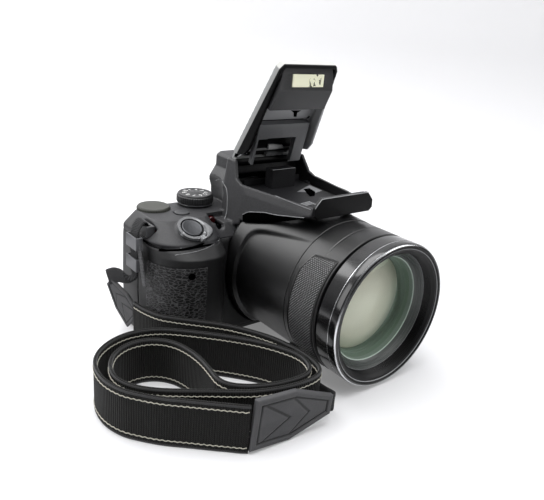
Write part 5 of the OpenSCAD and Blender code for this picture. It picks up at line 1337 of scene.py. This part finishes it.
# Painted reflection: the next element is painted cream where it would mirror the tent.
inner_glass = lathe("inner_lens_element", dome(INNER_GLASS_R, 90.0, 83.6, 76.0), ON_LENS)
goes_with(inner_glass, "front_lens",
          element_painted_reflection("cream_painted_reflection", "#fff6e8", "#d2cfbd", INNER_GLASS_R))
cell_ring = lathe("lens_cell_ring", [(29.0, 88.7), (29.5, 89.0), (29.55, 89.35), (29.05, 89.1)], ON_LENS)
goes_with(cell_ring, "lens_cell", anodised_black("green_glass_edge", "#b4c4b8", 0.8))


# Mode dial
# A black moulded wheel with fine flutes, a thin bare ring low on its rim and plain numbers printed on its
# top.
MODE_AT = (-41.6, 25.2, 70.8)
MODE_R = 10.9
MODE_TOP = 6.6
mode_place = move(*MODE_AT)
mode_line = [(2.5, -6), (2.5, 0), (10.1, 0), (10.3, 0.2), (10.3, 1.4), (10.5, 1.6), (MODE_R, 1.9),
             (MODE_R, 5.2), (10.5, 5.6), (10.3, 5.7), (10.2, 6.3), (9.9, MODE_TOP), (8.2, MODE_TOP),
             (8.0, 6.5), (3.2, 6.5), (3.0, 6.58), (0.0, MODE_TOP), (0.0, -6)]
mode_dial = lathe("mode_dial_turned", mode_line, mode_place, steps=384, flutes=(48, 0.35, 1.8, 5.3))
dial_black = moulded_plastic("black_dial_plastic", "#0c0c0d", 0.35, 0.03, 0.42, "#303032")
take_place(mode_dial, "mode_dial", dial_black)
mode_ring = lathe("mode_dial_ring", [(10.2, 0.95), (10.62, 1.0), (10.62, 1.35), (10.2, 1.4)], mode_place,
                  steps=128)
goes_with(mode_ring, "mode_dial", bright_cut)


def print_finish(name, code):
    """Printed white lacquer, slightly broken up by the grain below it."""
    made, tree = new_material(name)
    place = add(tree, "TexCoord")
    grain = add(tree, "TexNoise", {"Vector": place.outputs["Object"], "Scale": 1 / (0.3 * MM), "Detail": 2.0})
    tone = add(tree, "MapRange", {"Value": grain.outputs[0], "To Min": 0.7, "To Max": 1.0})
    mix = add(tree, "Mix", {"Factor": 1.0, 6: colour(code), 7: tone.outputs[0]}, data_type="RGBA",
              blend_type="MULTIPLY")
    shader = add(tree, "BsdfPrincipled", {"Base Color": mix.outputs[2], "Roughness": 0.5})
    add(tree, "OutputMaterial", {0: shader.outputs[0]})
    return made


def printed_numbers(name, words, places, size_mm, place):
    """Numbers in one mesh, each centred in its own placing and a hair thick."""
    joined = bmesh.new()
    for word, own in zip(words, places):
        line = bpy.data.curves.new(name, "FONT")
        line.body = word
        line.size = size_mm
        line.align_x = "CENTER"
        line.align_y = "CENTER"
        line.extrude = 0.04
        shown = bpy.data.objects.new(name, line)
        scene.collection.objects.link(shown)
        mesh = bpy.data.meshes.new_from_object(shown.evaluated_get(bpy.context.evaluated_depsgraph_get()))
        mesh.transform(Matrix((place @ own).tolist()))
        joined.from_mesh(mesh)
        bpy.data.objects.remove(shown)
        bpy.data.meshes.remove(mesh)
    bmesh.ops.remove_doubles(joined, verts=joined.verts[:], dist=1e-4)
    bmesh.ops.scale(joined, vec=(MM, MM, MM), verts=joined.verts[:])
    made_mesh = bpy.data.meshes.new(name)
    joined.to_mesh(made_mesh)
    joined.free()
    made = bpy.data.objects.new(name, made_mesh)
    scene.collection.objects.link(made)
    return made


NUMBER_COUNT = 10
number_places = [turn("Z", -360 * i / NUMBER_COUNT) @ move(0, 6.2, MODE_TOP - 0.02)
                 for i in range(NUMBER_COUNT)]
numbers = printed_numbers("mode_dial_numbers", [str(i + 1) for i in range(NUMBER_COUNT)], number_places, 3.9,
                          mode_place)
white_print = print_finish("white_print", "#e4e4e2")
goes_with(numbers, "mode_dial", white_print)


# Command dial
# A flat wheel in the rear corner of the deck, in matt olive-grey plastic with a fluted rim.
COMMAND_AT = (-67.8, 27.5, 65.8)
command_line = [(2.0, -4), (2.0, 0), (9.3, 0), (9.5, 0.2), (9.5, 5.3), (9.2, 5.7), (8.95, 6.0), (8.7, 6.2),
                (0.0, 6.2), (0.0, -4)]
command_dial = lathe("command_dial_turned", command_line, move(*COMMAND_AT), steps=320,
                     flutes=(40, 0.35, 0.1, 5.4))
take_place(command_dial, "command_dial",
           moulded_plastic("olive_grey_plastic", "#2b2c27", 0.5, 0.05, 0.55, "#42433c"))


# Shutter button, zoom lever and pod
# The button is spun aluminium with a dished top. A satin lever ring with a ribbed finger tab turns round it,
# in a teardrop pod of paler speckled plastic on the slope.
SLOPE_TILT = 28.7
SHUTTER_AT = (-62.4, -5.7, 70.5 + (-5.7 - 2.0) * math.tan(math.radians(SLOPE_TILT)))
slope_place = move(*SHUTTER_AT) @ turn("X", SLOPE_TILT)


def rounded(profile, radius, count=4):
    """A closed outline with its corners rounded, as far as its edges allow."""
    p = np.asarray(profile, float)
    out = []
    for before, here, after in zip(np.roll(p, 1, 0), p, np.roll(p, -1, 0)):
        back, ahead = before - here, after - here
        reach = min(radius, 0.45 * np.linalg.norm(back), 0.45 * np.linalg.norm(ahead))
        first = here + back / np.linalg.norm(back) * reach
        last = here + ahead / np.linalg.norm(ahead) * reach
        for t in np.linspace(0, 1, count):
            out.append((1 - t) ** 2 * first + 2 * t * (1 - t) * here + t * t * last)
    return np.array(out)


def spun_metal(name, code, ring_mm):
    """Spun aluminium on the slope: fine rings round the button's axis that draw the light into two fans."""
    made, tree = new_material(name)
    place = add(tree, "TexCoord")
    local = add(tree, "Mapping", {"Vector": place.outputs["Object"], "Location": [c * MM for c in SHUTTER_AT],
                                  "Rotation": (math.radians(SLOPE_TILT), 0.0, 0.0)}, vector_type="TEXTURE")
    rings = add(tree, "TexWave", {"Vector": local.outputs[0], "Scale": 1 / (ring_mm * MM) / 20},
                wave_type="RINGS", rings_direction="Z")
    bump = add(tree, "Bump", {"Height": rings.outputs[0], "Strength": 0.35, "Distance": 0.05 * MM})
    shader = add(tree, "BsdfPrincipled", {"Base Color": colour(code), "Metallic": 1.0, "Roughness": 0.4,
                                          "Normal": bump.outputs[0]})
    add(tree, "OutputMaterial", {0: shader.outputs[0]})
    return made


shutter_line = [(0.0, -5.6), (6.75, -5.6), (6.75, -4.3), (5.9, -4.2), (5.9, 2.4), (5.82, 2.75), (5.6, 2.95),
                (5.3, 3.0), (4.9, 2.93), (3.2, 2.74), (1.4, 2.62), (0.0, 2.6)]
shutter = lathe("shutter_button_spun", shutter_line, slope_place, steps=96)
take_place(shutter, "shutter_button", spun_metal("spun_aluminium", "#48494b", 0.35))
lever_finish = moulded_plastic("satin_grey_lever", "#3c3d3f", 0.4, 0.03, 0.35, "#a4a5a7")
take_place(shaped_copy("zoom_lever", 0.25), "zoom_lever", lever_finish)
for i in range(3):
    rib = prism(f"zoom_lever_rib_{i}", rounded([(-1.5, -0.22), (1.5, -0.22), (1.5, 0.22), (-1.5, 0.22)],
                                               0.15), 2.9, 3.5,
                slope_place @ turn("Z", 17) @ move(0, -9.4 + 0.8 * i, 0))
    goes_with(rib, "zoom_lever", lever_finish)

POD_R = 9.0
POD_AT = (1.2, 0.4)
POD_TIP = (9.0, -1.5)
POD_TIP_R = 3.4


def teardrop(grow):
    """Outline of the pod: a large circle drawn out to a small one."""
    outline = np.vstack([disc_outline(POD_R + grow, 72, POD_AT), disc_outline(POD_TIP_R + grow, 28, POD_TIP)])
    keep = []
    for a in np.radians(np.arange(-180, 180, 4)):
        way = np.array([math.cos(a), math.sin(a)])
        keep.append(outline[np.argmax(outline @ way)])
    kept = [keep[0]]
    for point in keep[1:]:
        if np.linalg.norm(point - kept[-1]) > 0.05:
            kept.append(point)
    return np.array(kept)


def collar(name, outline, hole_r, low, high, place):
    """A plate with a round hole and eased top edges, from an outline about the hole's centre. It thins out to
    its lower side where the hole comes near the outline."""
    n = 144
    angles = 2 * np.pi * np.arange(n) / n
    corners = np.arctan2(outline[:, 1], outline[:, 0])
    order = np.argsort(corners)
    reach = np.interp(angles, corners[order], np.linalg.norm(outline, axis=1)[order], period=2 * np.pi)
    high = low + 0.5 + (high - low - 0.5) * ramp(reach - hole_r, 0.2, 1.2)
    reach = np.maximum(reach, hole_r + 1.0)
    hole = np.full(n, hole_r)
    rings = [(reach, np.full(n, low)), (reach, high - 0.45), (reach - 0.15, high - 0.15), (reach - 0.4, high),
             (hole + 0.35, high), (hole + 0.1, high - 0.12), (hole, high - 0.4), (hole, np.full(n, low))]
    points = np.vstack([np.column_stack([r * np.cos(angles), r * np.sin(angles), z]) for r, z in rings])
    faces = []
    for i in range(len(rings)):
        j = (i + 1) % len(rings)
        faces += [(i * n + k, i * n + (k + 1) % n, j * n + (k + 1) % n, j * n + k) for k in range(n)]
    made = mesh_object(name, placed(points, place), faces)
    made.data.set_sharp_from_angle(angle=math.radians(45))
    return made


pod_plastic = moulded_plastic("speckled_grey_pod", "#4a4b4d", 0.8, 0.2, 0.4, "#c0c1c3")
pod = collar("shutter_pod", teardrop(0.0), 8.5, -0.8, 1.55, slope_place)
goes_with(pod, "top_cover", pod_plastic)


# Power button
# A small flat button in a ring behind the shutter slope.
button_grey = moulded_plastic("grey_button_plastic", "#28292b", 0.4, 0.03, 0.42, "#525355")
take_place(shaped_copy("power_button", 0.4, segments=3), "power_button", button_grey)


# Rear buttons and selector
# Small moulded buttons with eased edges stand in the rear cover, with a fluted dial round a flat centre
# button.
button_black = moulded_plastic("black_button_plastic", "#242425", 0.4, 0.03, 0.42, "#525254")
for node in ("display_button", "playback_button", "menu_button", "delete_button", "ok_button", "flash_button",
             "snap_back_button"):
    take_place(shaped_copy(node, 0.35, segments=3), node, button_black)
take_place(shaped_copy("selector_dial", 0.15), "selector_dial", dial_black)
take_place(shaped_copy("diopter_knob", 0.15), "diopter_knob", dial_black)
movie_red = moulded_plastic("black_button_with_red", "#5a1518", 0.4, 0.03, 0.4, "#8a2a2c")
take_place(shaped_copy("movie_button", 0.35, segments=3), "movie_button", movie_red)


# Eyepiece
# A soft rubber cup is pushed over the frame of the eyepiece window, which is hard-coated acrylic.
eye_rubber = moulded_plastic("soft_eyecup_rubber", "#151516", 0.5, 0.05, 0.7, "#252526")
take_place(shaped_copy("eyecup", 0.9, segments=4), "eyecup", eye_rubber)
take_place(shaped_copy("eyepiece_lens", 0.3), "eyepiece_lens",
           gloss_plastic("dark_acrylic_window", "#0d1114", 0.1))


# Swing-out monitor
# The panel swings on an arm at the far side. Its frame is black plastic, and a flush glass covers the
# display.
take_place(shaped_copy("monitor_arm", 0.4, segments=3), "monitor_arm", black_cover)
take_place(shaped_copy("monitor_panel", 0.8, segments=3), "monitor_panel", black_cover)
take_place(shaped_copy("monitor_glass", 0.15), "monitor_glass",
           gloss_plastic("black_display_glass", "#07080a", 0.1))


# Battery door, latch and port cover
# Thin moulded doors close the base and the far side. The latch is a ribbed slide in a recess of the door.
take_place(shaped_copy("battery_door", 0.3), "battery_door", black_cover)
take_place(shaped_copy("door_latch", 0.15), "door_latch", button_grey)
take_place(shaped_copy("port_cover", 0.4, segments=3), "port_cover", black_cover)


# Side zoom lever
# A rocking slide on the far side of the barrel, with three finger ribs.
take_place(shaped_copy("side_zoom_lever", 0.6, segments=3), "side_zoom_lever", button_black)
for i in (-1, 0, 1):
    rib = prism(f"side_lever_rib_{i + 1}", rounded([(-0.4, -4.6), (0.4, -4.6), (0.4, 4.6), (-0.4, 4.6)], 0.3),
                42.3, 43.0, move(0, SIDE_LEVER_Y, LENS_Z + 2.6 * i) @ TO_FAR_SIDE)
    goes_with(rib, "side_zoom_lever", button_black)
